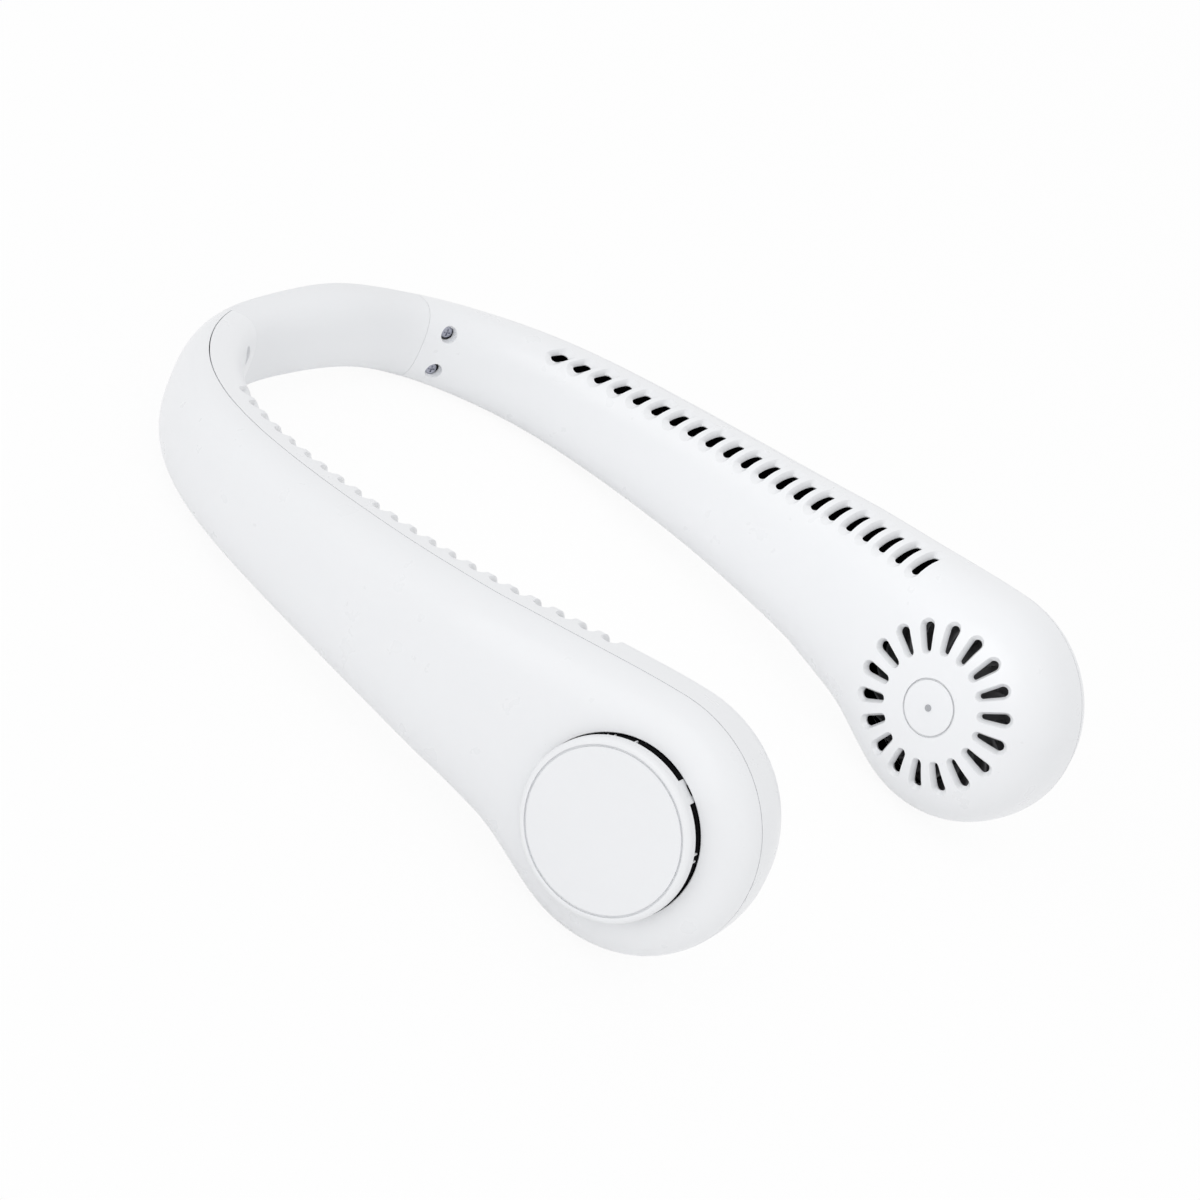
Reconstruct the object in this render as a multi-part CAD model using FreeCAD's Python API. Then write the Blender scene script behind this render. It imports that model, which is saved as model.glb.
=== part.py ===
import FreeCAD, Part
import math
import os
from FreeCAD import Vector

# Electric neck fan: two hollow arms with a fan in each round head, joined by a soft band.
# Millimetres and degrees. Worn frame: x to the wearer's left, y to the back, z up,
# with the origin on the mid path at the middle of the band.

# Plan of the mid path, left half, from the middle of the band to the fan axis.
band_bend_x, band_bend_y = 36.6, -0.5
shoulder_x, shoulder_y = 68.6, -21.5
upper_arm_x, upper_arm_y = 83.5, -59.2
lower_arm_x, lower_arm_y = 87.7, -117.7
head_x, head_y = 82.6, -170.8

# Stations along the mid path and, at each, the top edge, bottom edge and half thickness.
apex_top, apex_bottom, apex_half = 16.7, -5.0, 7.4
seam_station = 39.0
seam_top, seam_bottom, seam_half = 12.3, -9.8, 6.9
shoulder_station = 92.0
shoulder_top, shoulder_bottom, shoulder_half = 10.9, -16.4, 10.6
middle_station = 150.0
middle_top, middle_bottom, middle_half = 12.6, -23.0, 13.1
neck_before_head = 32.0
neck_top, neck_bottom = 16.2, -32.0
neck_inner_half, neck_outer_half = 17.9, 12.2

# Round head: radius, thickness inward and outward of the mid path, and height of the fan axis.
# The top and bottom edges run onto the head's circle at these angles before the axis.
head_radius = 31.0
head_inner_half, head_outer_half = 20.8, 12.6
head_z = -12.7
top_join_angle = 1.0
bottom_join_angle = 17.5
squareness = 2.7

# Shells.
wall = 1.8
parting_offset = 2.5
parting_gap = 0.25
seam_gap = 0.2

# Air slots along the top inner edge of each arm, evenly spaced from back to front.
slot_count = 21
slot_first_y = -30.2
slot_pitch = 5.77
slot_width = 2.5
slot_length = (6.8, 10.9)
slot_angle = (123.0, 118.0)
slot_lean = 11.5

# Radial grille in the inner face of each head.
grille_count = 18
grille_first_angle = 6.0
grille_inner_radius = 14.2
grille_outer_radius = 22.0
grille_inner_width = 1.6
grille_outer_width = 2.9

# Intake cap over a round well in the outer face of each head.
cap_radius = 20.4
cap_top = 16.4
cap_thickness = 3.3
cap_edge_round = 1.2
cap_leg_count = 3
cap_leg_width = 5.5
cap_leg_depth = 4.2
cap_leg_angle = 35.0
cap_seat_width = 1.4
cap_seat_height = 1.8
well_radius = 20.2
disc_radius = 18.5
disc_thickness = 1.2
trim_gap = 0.25

# Hub badge in the middle of the grille, with raised dots that tell the sides apart.
badge_radius = 7.2
badge_thickness = 0.9
dot_radius = 0.9
dot_height = 0.35
dot_spacing = 3.6

# Fan motor and impeller, along the fan axis.
motor_radius = 8.5
motor_length = 9.5
motor_seat_width = 1.4
motor_seat_height = 3.0
shaft_radius = 1.0
shaft_bore_gap = 0.05
shaft_end_gap = 0.8
rotor_gap = 0.6
hub_radius = 4.0
hub_length = 10.0
impeller_radius = 23.5
blade_root_radius = 14.0
blade_back, blade_front = -11.0, 6.0
blade_count = 24
blade_thickness = 0.8
blade_sweep = 24.0
blade_bow = 0.4
plate_thickness = 1.2

# Inside the arms.
fit_gap = 0.2
floor_top = 0.0
floor_thickness = 1.5
floor_first_station = 64.0
floor_last_station = 196.0
battery_station = 156.0
battery_length, battery_height, battery_thickness = 56.0, 13.0, 11.0
battery_offset = -0.6

# Control electronics in the left arm, on a board that hangs under the duct floor.
board_station = 100.0
board_length, board_height, board_thickness = 34.0, 9.0, 1.6
board_offset = -1.5
socket_width, socket_thickness = 8.9, 3.2
socket_wall = 0.35
socket_recess = 0.4
switch_side, switch_height = 5.0, 3.2
button_station = 93.0
button_drop = 4.75
button_radius = 3.2
button_flange_radius = 4.2
button_flange_thickness = 1.0
button_proud = 0.6
button_travel = 0.8
button_gap = 0.15
flange_clear = 1.3
window_station = 106.0
window_radius = 1.1

# Screws that clamp the inner cover, the band's tongue and the outer shell.
screw_station = 47.0
screw_spacing = 11.0
screw_head_radius = 1.75
screw_head_height = 1.3
screw_shank_radius = 1.0
screw_recess_radius = 2.05
screw_recess_depth = 1.2
screw_tip_gap = 0.6
cross_length, cross_width, cross_depth = 2.2, 0.5, 0.6
boss_radius = 2.6

# Band tongue and what runs inside the band.
tongue_length = 13.0
tongue_thickness = 3.0
tongue_gap = 0.25
tongue_height = 16.5
flex_station = 19.0
core_thickness, core_height = 0.8, 6.0
cable_thickness, cable_height = 0.8, 3.0
cable_core_gap = 0.1

# How finely the curved forms are drawn.
section_points = 24
arm_sections = 13
head_sections = 10
closest_sections = 6.0
band_sections = 13
strip_sections = 25
parting_points = 40
floor_points = 12
patches_around = 4
patches_along = 8
patch_tolerance = 0.001
edge_tolerance = 0.01
search_step = 0.001

# How finely the resting position is searched.
steepest_rest = 30.0
rest_steps = 40
rear_points = 76
rim_points = 360

far = 300.0
up = Vector(0, 0, 1)


# Mid path and edge curves.
plan_points = [
    Vector(0, 0, 0),
    Vector(band_bend_x, band_bend_y, 0),
    Vector(shoulder_x, shoulder_y, 0),
    Vector(upper_arm_x, upper_arm_y, 0),
    Vector(lower_arm_x, lower_arm_y, 0),
    Vector(head_x, head_y, 0),
]
half_path = Part.BSplineCurve()
half_path.interpolate(
    Points=plan_points,
    InitialTangent=Vector(1, 0, 0),
    FinalTangent=(plan_points[-1] - plan_points[-2]).normalize(),
)
head_station = half_path.length()
neck_station = head_station - neck_before_head
edge_stations = [0.0, seam_station, shoulder_station, middle_station, neck_station]
top_heights = [apex_top, seam_top, shoulder_top, middle_top, neck_top]
bottom_heights = [apex_bottom, seam_bottom, shoulder_bottom, middle_bottom, neck_bottom]
half_stations = edge_stations + [head_station, head_station + neck_before_head]
arm_halves = [apex_half, seam_half, shoulder_half, middle_half]
inner_halves = arm_halves + [neck_inner_half, head_inner_half, neck_inner_half]
outer_halves = arm_halves + [neck_outer_half, head_outer_half, neck_outer_half]


def ramp(x):
    """Smooth rise from 0 to 1."""
    return x * x * (3 - 2 * x)


def smooth_through(stations, values, last_slope, at):
    """Cubic value at a station, level at the first station and with a given slope at the last."""
    slopes = [0.0]
    for i in range(1, len(stations) - 1):
        slopes.append((values[i + 1] - values[i - 1]) / (stations[i + 1] - stations[i - 1]))
    slopes.append(last_slope)
    i = max(k for k in range(len(stations) - 1) if stations[k] <= at)
    span = stations[i + 1] - stations[i]
    x = (at - stations[i]) / span
    return (values[i] * (1 - ramp(x)) + values[i + 1] * ramp(x)
            + span * slopes[i] * x * (1 - x) ** 2 - span * slopes[i + 1] * x * x * (1 - x))


def path_point(station):
    """Point and forward direction on the left half of the mid path."""
    at = min(station, head_station)
    parameter = half_path.parameterAtDistance(at, half_path.FirstParameter)
    forward = half_path.tangent(parameter)[0]
    return half_path.value(parameter) + forward * (station - at), forward


def outward_of(forward):
    return Vector(-forward.y, forward.x, 0)


def edge_height(heights, join_angle, way, station):
    """Height of the top edge (way 1) or bottom edge (way -1), which runs onto the head's circle."""
    turn = math.radians(join_angle)
    join_station = head_station - head_radius * math.sin(turn)
    if station >= join_station:
        before = head_station - station
        return head_z + way * math.sqrt(head_radius ** 2 - before ** 2)
    join_height = head_z + way * head_radius * math.cos(turn)
    stations = edge_stations + [join_station]
    return smooth_through(stations, heights + [join_height], way * math.tan(turn), station)


def section_sizes(station):
    """Top, bottom, and thickness inward and outward of the mid path, at a station."""
    top = edge_height(top_heights, top_join_angle, 1, station)
    bottom = edge_height(bottom_heights, bottom_join_angle, -1, station)
    inner = smooth_through(half_stations, inner_halves, 0.0, station)
    outer = smooth_through(half_stations, outer_halves, 0.0, station)
    return top, bottom, inner, outer


def rounding(share):
    """What is left of a section's thickness at a share of its height."""
    return max(1 - abs(share) ** squareness, 0.0) ** (1 / squareness)


def section_offset(angle, sizes, inset=0.0):
    """Outward and upward place on a section, at an angle from outward through up."""
    top, bottom, inner, outer = sizes
    c, s = math.cos(angle), math.sin(angle)
    reach = (abs(c) ** squareness + abs(s) ** squareness) ** (-1 / squareness)
    middle, height = (top + bottom) / 2, (top - bottom) / 2
    half = inner if c < 0 else outer
    return (half - inset) * reach * c, middle + (height - inset) * reach * s


def ring_curve(place, forward, sizes, inset=0.0, side=1):
    """Closed curve of a section around a point of the mid path; side -1 is the right half."""
    outward = outward_of(forward)
    points = []
    for i in range(section_points):
        angle = 2 * math.pi * i / section_points - math.pi / 2
        out, rise = section_offset(angle, sizes, inset)
        point = place + outward * out + up * rise
        points.append(Vector(side * point.x, point.y, point.z))
    curve = Part.BSplineCurve()
    curve.interpolate(Points=points, PeriodicFlag=True, Parameters=list(range(section_points + 1)))
    return curve


def section_curve(station, inset, side=1):
    """Section of the band or arm at a station."""
    place, forward = path_point(station)
    return ring_curve(place, forward, section_sizes(station), inset, side)


def tip_curve(turn, inset):
    """Section of the front half of the head, at an angle from the fan axis to the tip."""
    place, forward = path_point(head_station + (head_radius - inset) * math.sin(turn))
    chord = (head_radius - inset) * math.cos(turn)
    inner = (head_inner_half - inset) * rounding(math.sin(turn))
    outer = (head_outer_half - inset) * rounding(math.sin(turn))
    return ring_curve(place, forward, (head_z + chord, head_z - chord, inner, outer))


def curve_wire(curve):
    return Part.Wire(curve.toShape())


def spread(first, last, count):
    return [first + (last - first) * i / (count - 1) for i in range(count)]


def pairs(values):
    return list(zip(values[:-1], values[1:]))


# Frames of the arm and the head.
head_centre, head_forward = path_point(head_station)
head_centre = head_centre + up * head_z
head_outward = outward_of(head_forward)
head_place = FreeCAD.Placement(head_centre, FreeCAD.Rotation(up, head_forward, head_outward, "ZXY"))


def arm_place(station, out, rise):
    """Placement with x forward, y up and z outward at a station of the left arm."""
    place, forward = path_point(station)
    outward = outward_of(forward)
    turn = FreeCAD.Rotation(outward.cross(up) * -1, up, outward, "ZYX")
    return FreeCAD.Placement(place + outward * out + up * rise, turn)


def placed(shape, placement):
    moved = shape.copy()
    moved.Placement = placement.multiply(moved.Placement)
    return moved


def mirrored(shape):
    return shape.mirror(Vector(0, 0, 0), Vector(1, 0, 0))


def disc(radius, bottom, height):
    return Part.makeCylinder(radius, height, Vector(0, 0, bottom))


def ring(outer, inner, bottom, height):
    return disc(outer, bottom, height).cut(disc(inner, bottom - height, 3 * height))


def block(x_size, y_size, z_size, z_bottom=None):
    """Box centred on x and y, and on z unless its bottom is given."""
    bottom = -z_size / 2 if z_bottom is None else z_bottom
    return Part.makeBox(x_size, y_size, z_size, Vector(-x_size / 2, -y_size / 2, bottom))


# Hollow arm with its round head, and its two shells.
def in_patches(loft, around, along):
    """The same closed loft with its one long skin split into smaller faces."""
    skin = [face for face in loft.Faces if isinstance(face.Surface, Part.BSplineSurface)][0].Surface
    skin.setUNotPeriodic()
    u_first, u_last, v_first, v_last = skin.bounds()
    patches = []
    for u_start, u_end in pairs(spread(u_first, u_last, around + 1)):
        for v_start, v_end in pairs(spread(v_first, v_last, along + 1)):
            patch = skin.copy()
            patch.segment(u_start, u_end, v_start, v_end)
            patches.append(patch.toShape())
    end_edges = []
    for patch in patches:
        for edge in patch.Edges:
            on_end = [loft_end.isInside(edge.valueAt(p), patch_tolerance, True)
                      for loft_end in loft.Faces if isinstance(loft_end.Surface, Part.Plane)
                      for p in (edge.FirstParameter, edge.LastParameter)]
            if on_end and all(on_end) and not edge.Degenerated:
                end_edges.append(edge)
    end = Part.Face(Part.Wire(Part.__sortEdges__(end_edges)))
    skin_shell = Part.makeShell(patches + [end])
    skin_shell.sewShape()
    return Part.makeSolid(skin_shell)


def arm_solid(inset, first_station):
    """Arm from a station forward, through its round head to the tip."""
    arm_stations = spread(first_station, neck_station, arm_sections)[:-1]
    turns = spread(0.0, math.pi / 2, head_sections)
    head_stations = [head_station - head_radius * math.cos(turn) for turn in turns]
    stations = arm_stations + [s for s in head_stations if s > arm_stations[-1] + closest_sections]
    curves = [section_curve(station, inset) for station in stations]
    curves += [tip_curve(turn, inset) for turn in turns[1:-1]]
    tip = path_point(head_station + head_radius - inset)[0] + up * head_z
    loft = Part.makeLoft([curve_wire(curve) for curve in curves] + [Part.Vertex(tip)], True, False)
    return in_patches(loft, patches_around, patches_along)


def inner_region(offset):
    """Everything on the neck side of the parting surface, as a tall block."""
    points = []
    for station in spread(seam_station / 2, head_station + 2 * head_radius, parting_points):
        place, forward = path_point(station)
        points.append(place + outward_of(forward) * offset)
    edge = Part.BSplineCurve()
    edge.interpolate(points)
    corners = [points[-1], Vector(0, points[-1].y, 0), Vector(0, points[0].y, 0), points[0]]
    outline = Part.Wire([edge.toShape()] + Part.makePolygon(corners).Edges)
    return Part.Face(outline).extrude(up * 2 * far).translated(up * -far)


def capsule(length, width, height):
    """Straight prism with round ends, along x, from z = 0 up."""
    radius = width / 2
    reach = length / 2 - radius
    body = block(2 * reach, width, height, 0)
    for end in (-reach, reach):
        body = body.fuse(Part.makeCylinder(radius, height, Vector(end, 0, 0)))
    return body.removeSplitter()


def along_slots(first_and_last, index):
    """A size of the air slots that changes evenly from the first slot to the last."""
    first, last = first_and_last
    return first + (last - first) * index / (slot_count - 1)


def slot_line(station, angle):
    """Point of the arm's top inner edge at a station."""
    place, forward = path_point(station)
    out, rise = section_offset(angle, section_sizes(station))
    return place + outward_of(forward) * out + up * rise


def slot_station(y, angle):
    """Station at which the top inner edge is at a place from back to front."""
    rear, front = seam_station, head_station
    while front - rear > search_step:
        middle = (rear + front) / 2
        if slot_line(middle, angle).y > y:
            rear = middle
        else:
            front = middle
    return rear


def top_slot(index):
    """Cutter of one air slot, square to the surface and leaning forward towards the outside."""
    angle = math.radians(along_slots(slot_angle, index))
    station = slot_station(slot_first_y - slot_pitch * index, angle)
    step = math.radians(1)
    around = slot_line(station, angle + step) - slot_line(station, angle - step)
    normal = around.cross(slot_line(station + 1, angle) - slot_line(station - 1, angle)).normalize()
    if normal.z < 0:
        normal = normal * -1
    lean = math.radians(slot_lean)
    across = normal.cross(Vector(math.cos(lean), -math.sin(lean), 0)).normalize()
    turn = FreeCAD.Rotation(across.cross(normal), across, normal, "ZXY")
    depth = 2.5 * wall
    cutter = capsule(along_slots(slot_length, index), slot_width, 2 * depth)
    return placed(cutter, FreeCAD.Placement(slot_line(station, angle) - normal * depth, turn))


def grille_slot(index):
    """Cutter of one drop-shaped grille slot, wider at its outer end."""
    small, large = grille_inner_width / 2, grille_outer_width / 2
    near, distant = grille_inner_radius + small, grille_outer_radius - large
    lean = math.asin((large - small) / (distant - near))
    c, s = math.cos(lean), math.sin(lean)
    corners = [
        Vector(near - small * s, small * c, 0), Vector(near - small, 0, 0),
        Vector(near - small * s, -small * c, 0), Vector(distant - large * s, -large * c, 0),
        Vector(distant + large, 0, 0), Vector(distant - large * s, large * c, 0),
    ]
    edges = [
        Part.Arc(corners[0], corners[1], corners[2]).toShape(), Part.makeLine(corners[2], corners[3]),
        Part.Arc(corners[3], corners[4], corners[5]).toShape(), Part.makeLine(corners[5], corners[0]),
    ]
    drop = Part.Face(Part.Wire(edges)).extrude(up * head_inner_half)
    drop.translate(up * -(head_inner_half + wall))
    drop.rotate(Vector(0, 0, 0), up, grille_first_angle + 360.0 * index / grille_count)
    return drop


def screw_places():
    """Placements of the two clamp screws of the left arm, z outward, on the mid path."""
    top, bottom = section_sizes(screw_station)[:2]
    middle = (top + bottom) / 2
    return [arm_place(screw_station, 0, middle + d * screw_spacing / 2) for d in (1, -1)]


screw_half = section_sizes(screw_station)[2]
screw_seat = -screw_half + screw_recess_depth + screw_head_height
screw_end = screw_half - wall - screw_tip_gap
screw_reach = screw_end - screw_seat
tongue_half = tongue_thickness / 2
socket_bottom = section_sizes(board_station)[1] + socket_recess
board_bottom = floor_top - floor_thickness - board_height

body = arm_solid(0.0, seam_station)
cavity = arm_solid(wall, seam_station + wall)
mid_wall = arm_solid(wall / 2, seam_station + wall / 2)
tongue_mouth = placed(
    block(4 * wall, tongue_height + 2 * fit_gap, tongue_thickness + 2 * fit_gap),
    arm_place(seam_station, 0, (seam_top + seam_bottom) / 2),
)
shell = body.cut(cavity).cut(tongue_mouth)
inner_side = inner_region(parting_offset)
boss_end = tongue_half + tongue_gap
boss_span = screw_half - boss_end
inner_boss = disc(boss_radius, -screw_half, boss_span)
outer_boss = disc(boss_radius, boss_end, boss_span)
inner_bosses = [placed(inner_boss, p).common(mid_wall) for p in screw_places()]
outer_bosses = [placed(outer_boss, p).common(mid_wall) for p in screw_places()]
lane = disc(screw_shank_radius, screw_seat, screw_reach + screw_tip_gap)
screw_lane = [placed(lane, p) for p in screw_places()]
screw_wells = [
    placed(disc(screw_recess_radius, screw_seat - screw_half, screw_half), p) for p in screw_places()
]

hub_face = -section_offset(math.pi, section_sizes(head_station))[0]
badge_seat = -hub_face + badge_thickness
motor_back = -head_inner_half + badge_thickness + wall
motor_front = motor_back + motor_length
motor_socket = ring(
    motor_radius + fit_gap + motor_seat_width, motor_radius + fit_gap,
    -head_inner_half, motor_back + head_inner_half + motor_seat_height,
).fuse(disc(motor_radius + fit_gap, -head_inner_half, motor_back + head_inner_half))
inner_cutters = [top_slot(i) for i in range(slot_count)]
inner_cutters += [placed(grille_slot(i), head_place) for i in range(grille_count)]
inner_cutters.append(placed(disc(badge_radius + trim_gap, -far, far + badge_seat), head_place))
inner_cover = shell.common(inner_side)
inner_cover = inner_cover.fuse(inner_bosses + [placed(motor_socket, head_place).common(mid_wall)])
inner_cover = inner_cover.cut(inner_cutters + screw_wells + screw_lane)

outer_side = inner_region(parting_offset + parting_gap)
well = placed(disc(well_radius, 0, 2 * head_outer_half), head_place)
outer_shell = shell.cut(outer_side)
outer_shell = outer_shell.fuse(outer_bosses).cut([well] + screw_lane)

# Clamp screws: round head, shank, and a cross recess cut in the head.
screw = disc(screw_head_radius, screw_seat - screw_head_height, screw_head_height)
screw = screw.fuse(disc(screw_shank_radius, screw_seat, screw_reach))
cross = block(cross_length, cross_width, cross_depth * 2)
cross = cross.fuse(block(cross_width, cross_length, cross_depth * 2))
cross.translate(up * (screw_seat - screw_head_height))
screw = screw.cut(cross)
screws = Part.makeCompound([placed(screw, p) for p in screw_places()])

# Intake cap: round plate on legs, and a ring that seats in the well.
cap_bottom = cap_top - cap_thickness
seat_surface = head_outer_half * rounding(well_radius / head_radius)
seat_bottom = seat_surface - wall
plate = disc(cap_radius, cap_bottom, cap_thickness)
plate_rim = [e for e in plate.Edges if abs(e.BoundBox.ZMin - cap_top) < edge_tolerance]
plate = plate.makeFillet(cap_edge_round, plate_rim)
plate = plate.cut(disc(disc_radius + trim_gap, cap_top - disc_thickness, cap_thickness))
seat_outer = well_radius - fit_gap
cap_seat = ring(seat_outer, seat_outer - cap_seat_width, seat_bottom, cap_seat_height)
leg_inner = cap_radius - cap_leg_depth
legs = []
for i in range(cap_leg_count):
    leg = Part.makeBox(
        seat_outer - leg_inner, cap_leg_width, cap_bottom - seat_bottom,
        Vector(leg_inner, -cap_leg_width / 2, seat_bottom),
    )
    leg.rotate(Vector(0, 0, 0), up, cap_leg_angle + 360.0 * i / cap_leg_count)
    legs.append(leg)
cap = plate.fuse([cap_seat] + legs).removeSplitter()
cap_disc = disc(disc_radius, cap_top - disc_thickness, disc_thickness)


def hub_badge(dot_count):
    """Round badge with one or two raised dots, flush with the hub."""
    badge = disc(badge_radius, -hub_face, badge_thickness)
    for i in range(dot_count):
        dot = disc(dot_radius, -hub_face - dot_height, 2 * dot_height)
        dot.translate(Vector(0, (i - (dot_count - 1) / 2) * dot_spacing, 0))
        badge = badge.fuse(dot)
    return badge.removeSplitter()


# Motor, shaft and impeller on the fan axis.
motor = disc(motor_radius, motor_back, motor_length)
motor_rim = [e for e in motor.Edges if abs(e.BoundBox.ZMin - motor_front) < edge_tolerance]
motor = motor.makeFillet(wall / 2, motor_rim)
shaft_bottom = motor_back + wall
motor = motor.cut(disc(shaft_radius + shaft_bore_gap, shaft_bottom - shaft_end_gap, motor_length))
hub_bottom = motor_front + rotor_gap
hub_top = hub_bottom + hub_length
shaft = disc(shaft_radius, shaft_bottom, hub_top - shaft_bottom)


def blade(index):
    """One swept blade, an arc from the inlet eye to the rim."""
    def at(radius, turn):
        return Vector(radius * math.cos(turn), radius * math.sin(turn), 0)
    sweep = math.radians(blade_sweep)
    middle = (blade_root_radius + impeller_radius) / 2
    half = blade_thickness / 2
    lines = []
    for shift in (half, -half):
        root = at(blade_root_radius, shift / blade_root_radius)
        tip = at(impeller_radius - half, sweep + shift / impeller_radius)
        lines.append(Part.Arc(root, at(middle, sweep * blade_bow + shift / middle), tip).toShape())
    ends = [Part.makeLine(lines[0].Vertexes[i].Point, lines[1].Vertexes[i].Point) for i in (0, 1)]
    outline = Part.Wire([lines[0], ends[1], lines[1], ends[0]])
    solid = Part.Face(outline).extrude(up * (blade_front - blade_back)).translated(up * blade_back)
    solid.rotate(Vector(0, 0, 0), up, 360.0 * index / blade_count)
    return solid


impeller = disc(hub_radius, hub_bottom, hub_length)
impeller = impeller.fuse(disc(impeller_radius, hub_bottom + plate_thickness, plate_thickness))
impeller = impeller.fuse([blade(i) for i in range(blade_count)])
shaft_bore = disc(shaft_radius, hub_bottom - rotor_gap, hub_length + 2 * rotor_gap)
impeller = impeller.cut(shaft_bore).removeSplitter()

# Duct floor: a curved shelf across the arm that keeps the air above the battery.
clear_cavity = arm_solid(wall + fit_gap, seam_station + 2 * wall)


def floor_slab():
    """Level slab wide enough to meet both walls, between the floor's two stations."""
    sides = []
    for offset in (head_inner_half, -head_inner_half):
        points = []
        for station in spread(floor_first_station, floor_last_station, floor_points):
            place, forward = path_point(station)
            points.append(place + outward_of(forward) * offset)
        side = Part.BSplineCurve()
        side.interpolate(points)
        sides.append(side.toShape())
    ends = [Part.makeLine(sides[0].Vertexes[i].Point, sides[1].Vertexes[i].Point) for i in (0, 1)]
    face = Part.Face(Part.Wire([sides[0], ends[1], sides[1], ends[0]]))
    return face.extrude(up * floor_thickness).translated(up * (floor_top - floor_thickness))


duct_floor = floor_slab().common(clear_cavity)
floor_bottom = floor_top - floor_thickness
battery = placed(
    block(battery_length, battery_height, battery_thickness),
    arm_place(battery_station, battery_offset, floor_bottom - battery_height / 2),
)
battery_edges = [e for e in battery.Edges if abs(e.Length - battery_length) < edge_tolerance]
battery = battery.makeFillet(wall / 2, battery_edges)

# Board, charging socket, switch, button and light window of the left arm.
board_middle = floor_bottom - board_height / 2
board = placed(
    block(board_length, board_height, board_thickness),
    arm_place(board_station, board_offset, board_middle),
)
socket_height = board_bottom - socket_bottom
socket_body = capsule(socket_width, socket_thickness, socket_height)
socket_mouth = capsule(socket_width - 2 * socket_wall, socket_thickness - 2 * socket_wall, socket_height)
socket_body = socket_body.cut(socket_mouth.translated(up * -wall))
socket_point, socket_forward = path_point(board_station)
socket_turn = FreeCAD.Rotation(socket_forward, up.cross(socket_forward), up, "ZXY")
socket_base = socket_point + outward_of(socket_forward) * board_offset + up * socket_bottom
socket_place = FreeCAD.Placement(socket_base, socket_turn)
usb_socket = placed(socket_body, socket_place)
socket_hole = placed(
    capsule(socket_width + 2 * fit_gap, socket_thickness + 2 * fit_gap, 2 * socket_height)
    .translated(up * -socket_height), socket_place,
)
left_inner_cover = inner_cover.cut(socket_hole)

board_line, board_forward = path_point(board_station)
board_outward = outward_of(board_forward)
board_face = board_offset + board_thickness / 2


def on_board(station, rise):
    """Placement on the board's outer face: x forward, y up, z outward."""
    along = station - board_station
    point = board_line + board_forward * along + board_outward * board_face + up * rise
    turn = FreeCAD.Rotation(board_outward.cross(up) * -1, up, board_outward, "ZYX")
    return FreeCAD.Placement(point, turn)


def surface_reach(station, rise):
    """Distance from the board's outer face to the arm's outer surface."""
    top, bottom, _, outer = section_sizes(station)
    share = (2 * rise - top - bottom) / (top - bottom)
    sag = (path_point(station)[0] - board_line).dot(board_outward)
    return outer * rounding(share) + sag - board_face


button_rise = floor_bottom - button_drop
button_place = on_board(button_station, button_rise)
button_reach = surface_reach(button_station, button_rise)
switch_body = block(switch_side, switch_side, switch_height, 0)
power_switch = placed(switch_body, button_place)
flange_top = button_reach - wall - flange_clear
button_tail = switch_height + button_travel + button_gap
button_solid = disc(button_radius, flange_top, button_reach + button_proud - flange_top)
button_solid = button_solid.makeFillet(
    button_proud, [e for e in button_solid.Edges if e.BoundBox.ZMin > button_reach + button_proud / 2]
)
button_solid = button_solid.fuse(
    disc(button_flange_radius, flange_top - button_flange_thickness, button_flange_thickness)
)
button_solid = button_solid.fuse(disc(shaft_radius, button_tail, flange_top - button_tail)).removeSplitter()
power_button = placed(button_solid, button_place)
button_hole = placed(disc(button_radius + button_gap, 0, far), button_place)
window_place = on_board(window_station, button_rise)
window_reach = surface_reach(window_station, button_rise)
indicator_window = placed(disc(window_radius, 0, window_reach), window_place)
window_hole = placed(disc(window_radius + fit_gap / 2, 0, far), window_place)
left_outer_shell = outer_shell.cut([button_hole, window_hole])

# Soft band with its tongues, the springy core strip and the flat cable inside it.
def strip(first, last, thickness, height, offset):
    """Upright strip along the band's mid line, from one signed station to another."""
    wires = []
    for signed in spread(first, last, strip_sections):
        side = 1 if signed >= 0 else -1
        place, forward = path_point(abs(signed))
        outward = outward_of(forward)
        top, bottom = section_sizes(abs(signed))[:2]
        middle = place + up * (top + bottom) / 2
        corners = []
        for out, rise in ((-1, -1), (1, -1), (1, 1), (-1, 1)):
            point = middle + outward * (offset + out * thickness / 2) + up * (rise * height / 2)
            corners.append(Vector(side * point.x, point.y, point.z))
        wires.append(Part.makePolygon(corners + corners[:1]))
    return Part.makeLoft(wires, True, False)


band_end = seam_station - seam_gap
band_curves = []
for signed in spread(-band_end, band_end, band_sections):
    band_curves.append(section_curve(abs(signed), 0.0, 1 if signed >= 0 else -1))
band = Part.makeLoft([curve_wire(c) for c in band_curves], True, False)
tongue_end = seam_station + tongue_length
tongue = strip(-tongue_end, tongue_end, tongue_thickness, tongue_height, 0.0)
core = strip(-tongue_end, tongue_end, core_thickness, core_height, 0.0)
cable_offset = core_thickness / 2 + cable_core_gap + cable_thickness / 2
cable = strip(-tongue_end, tongue_end, cable_thickness, cable_height, cable_offset)
screw_holes = [placed(disc(screw_shank_radius + fit_gap, -far, 2 * far), p) for p in screw_places()]
screw_holes += [mirrored(h) for h in screw_holes]
band = band.fuse(tongue).cut([core, cable] + screw_holes).removeSplitter()

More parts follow.
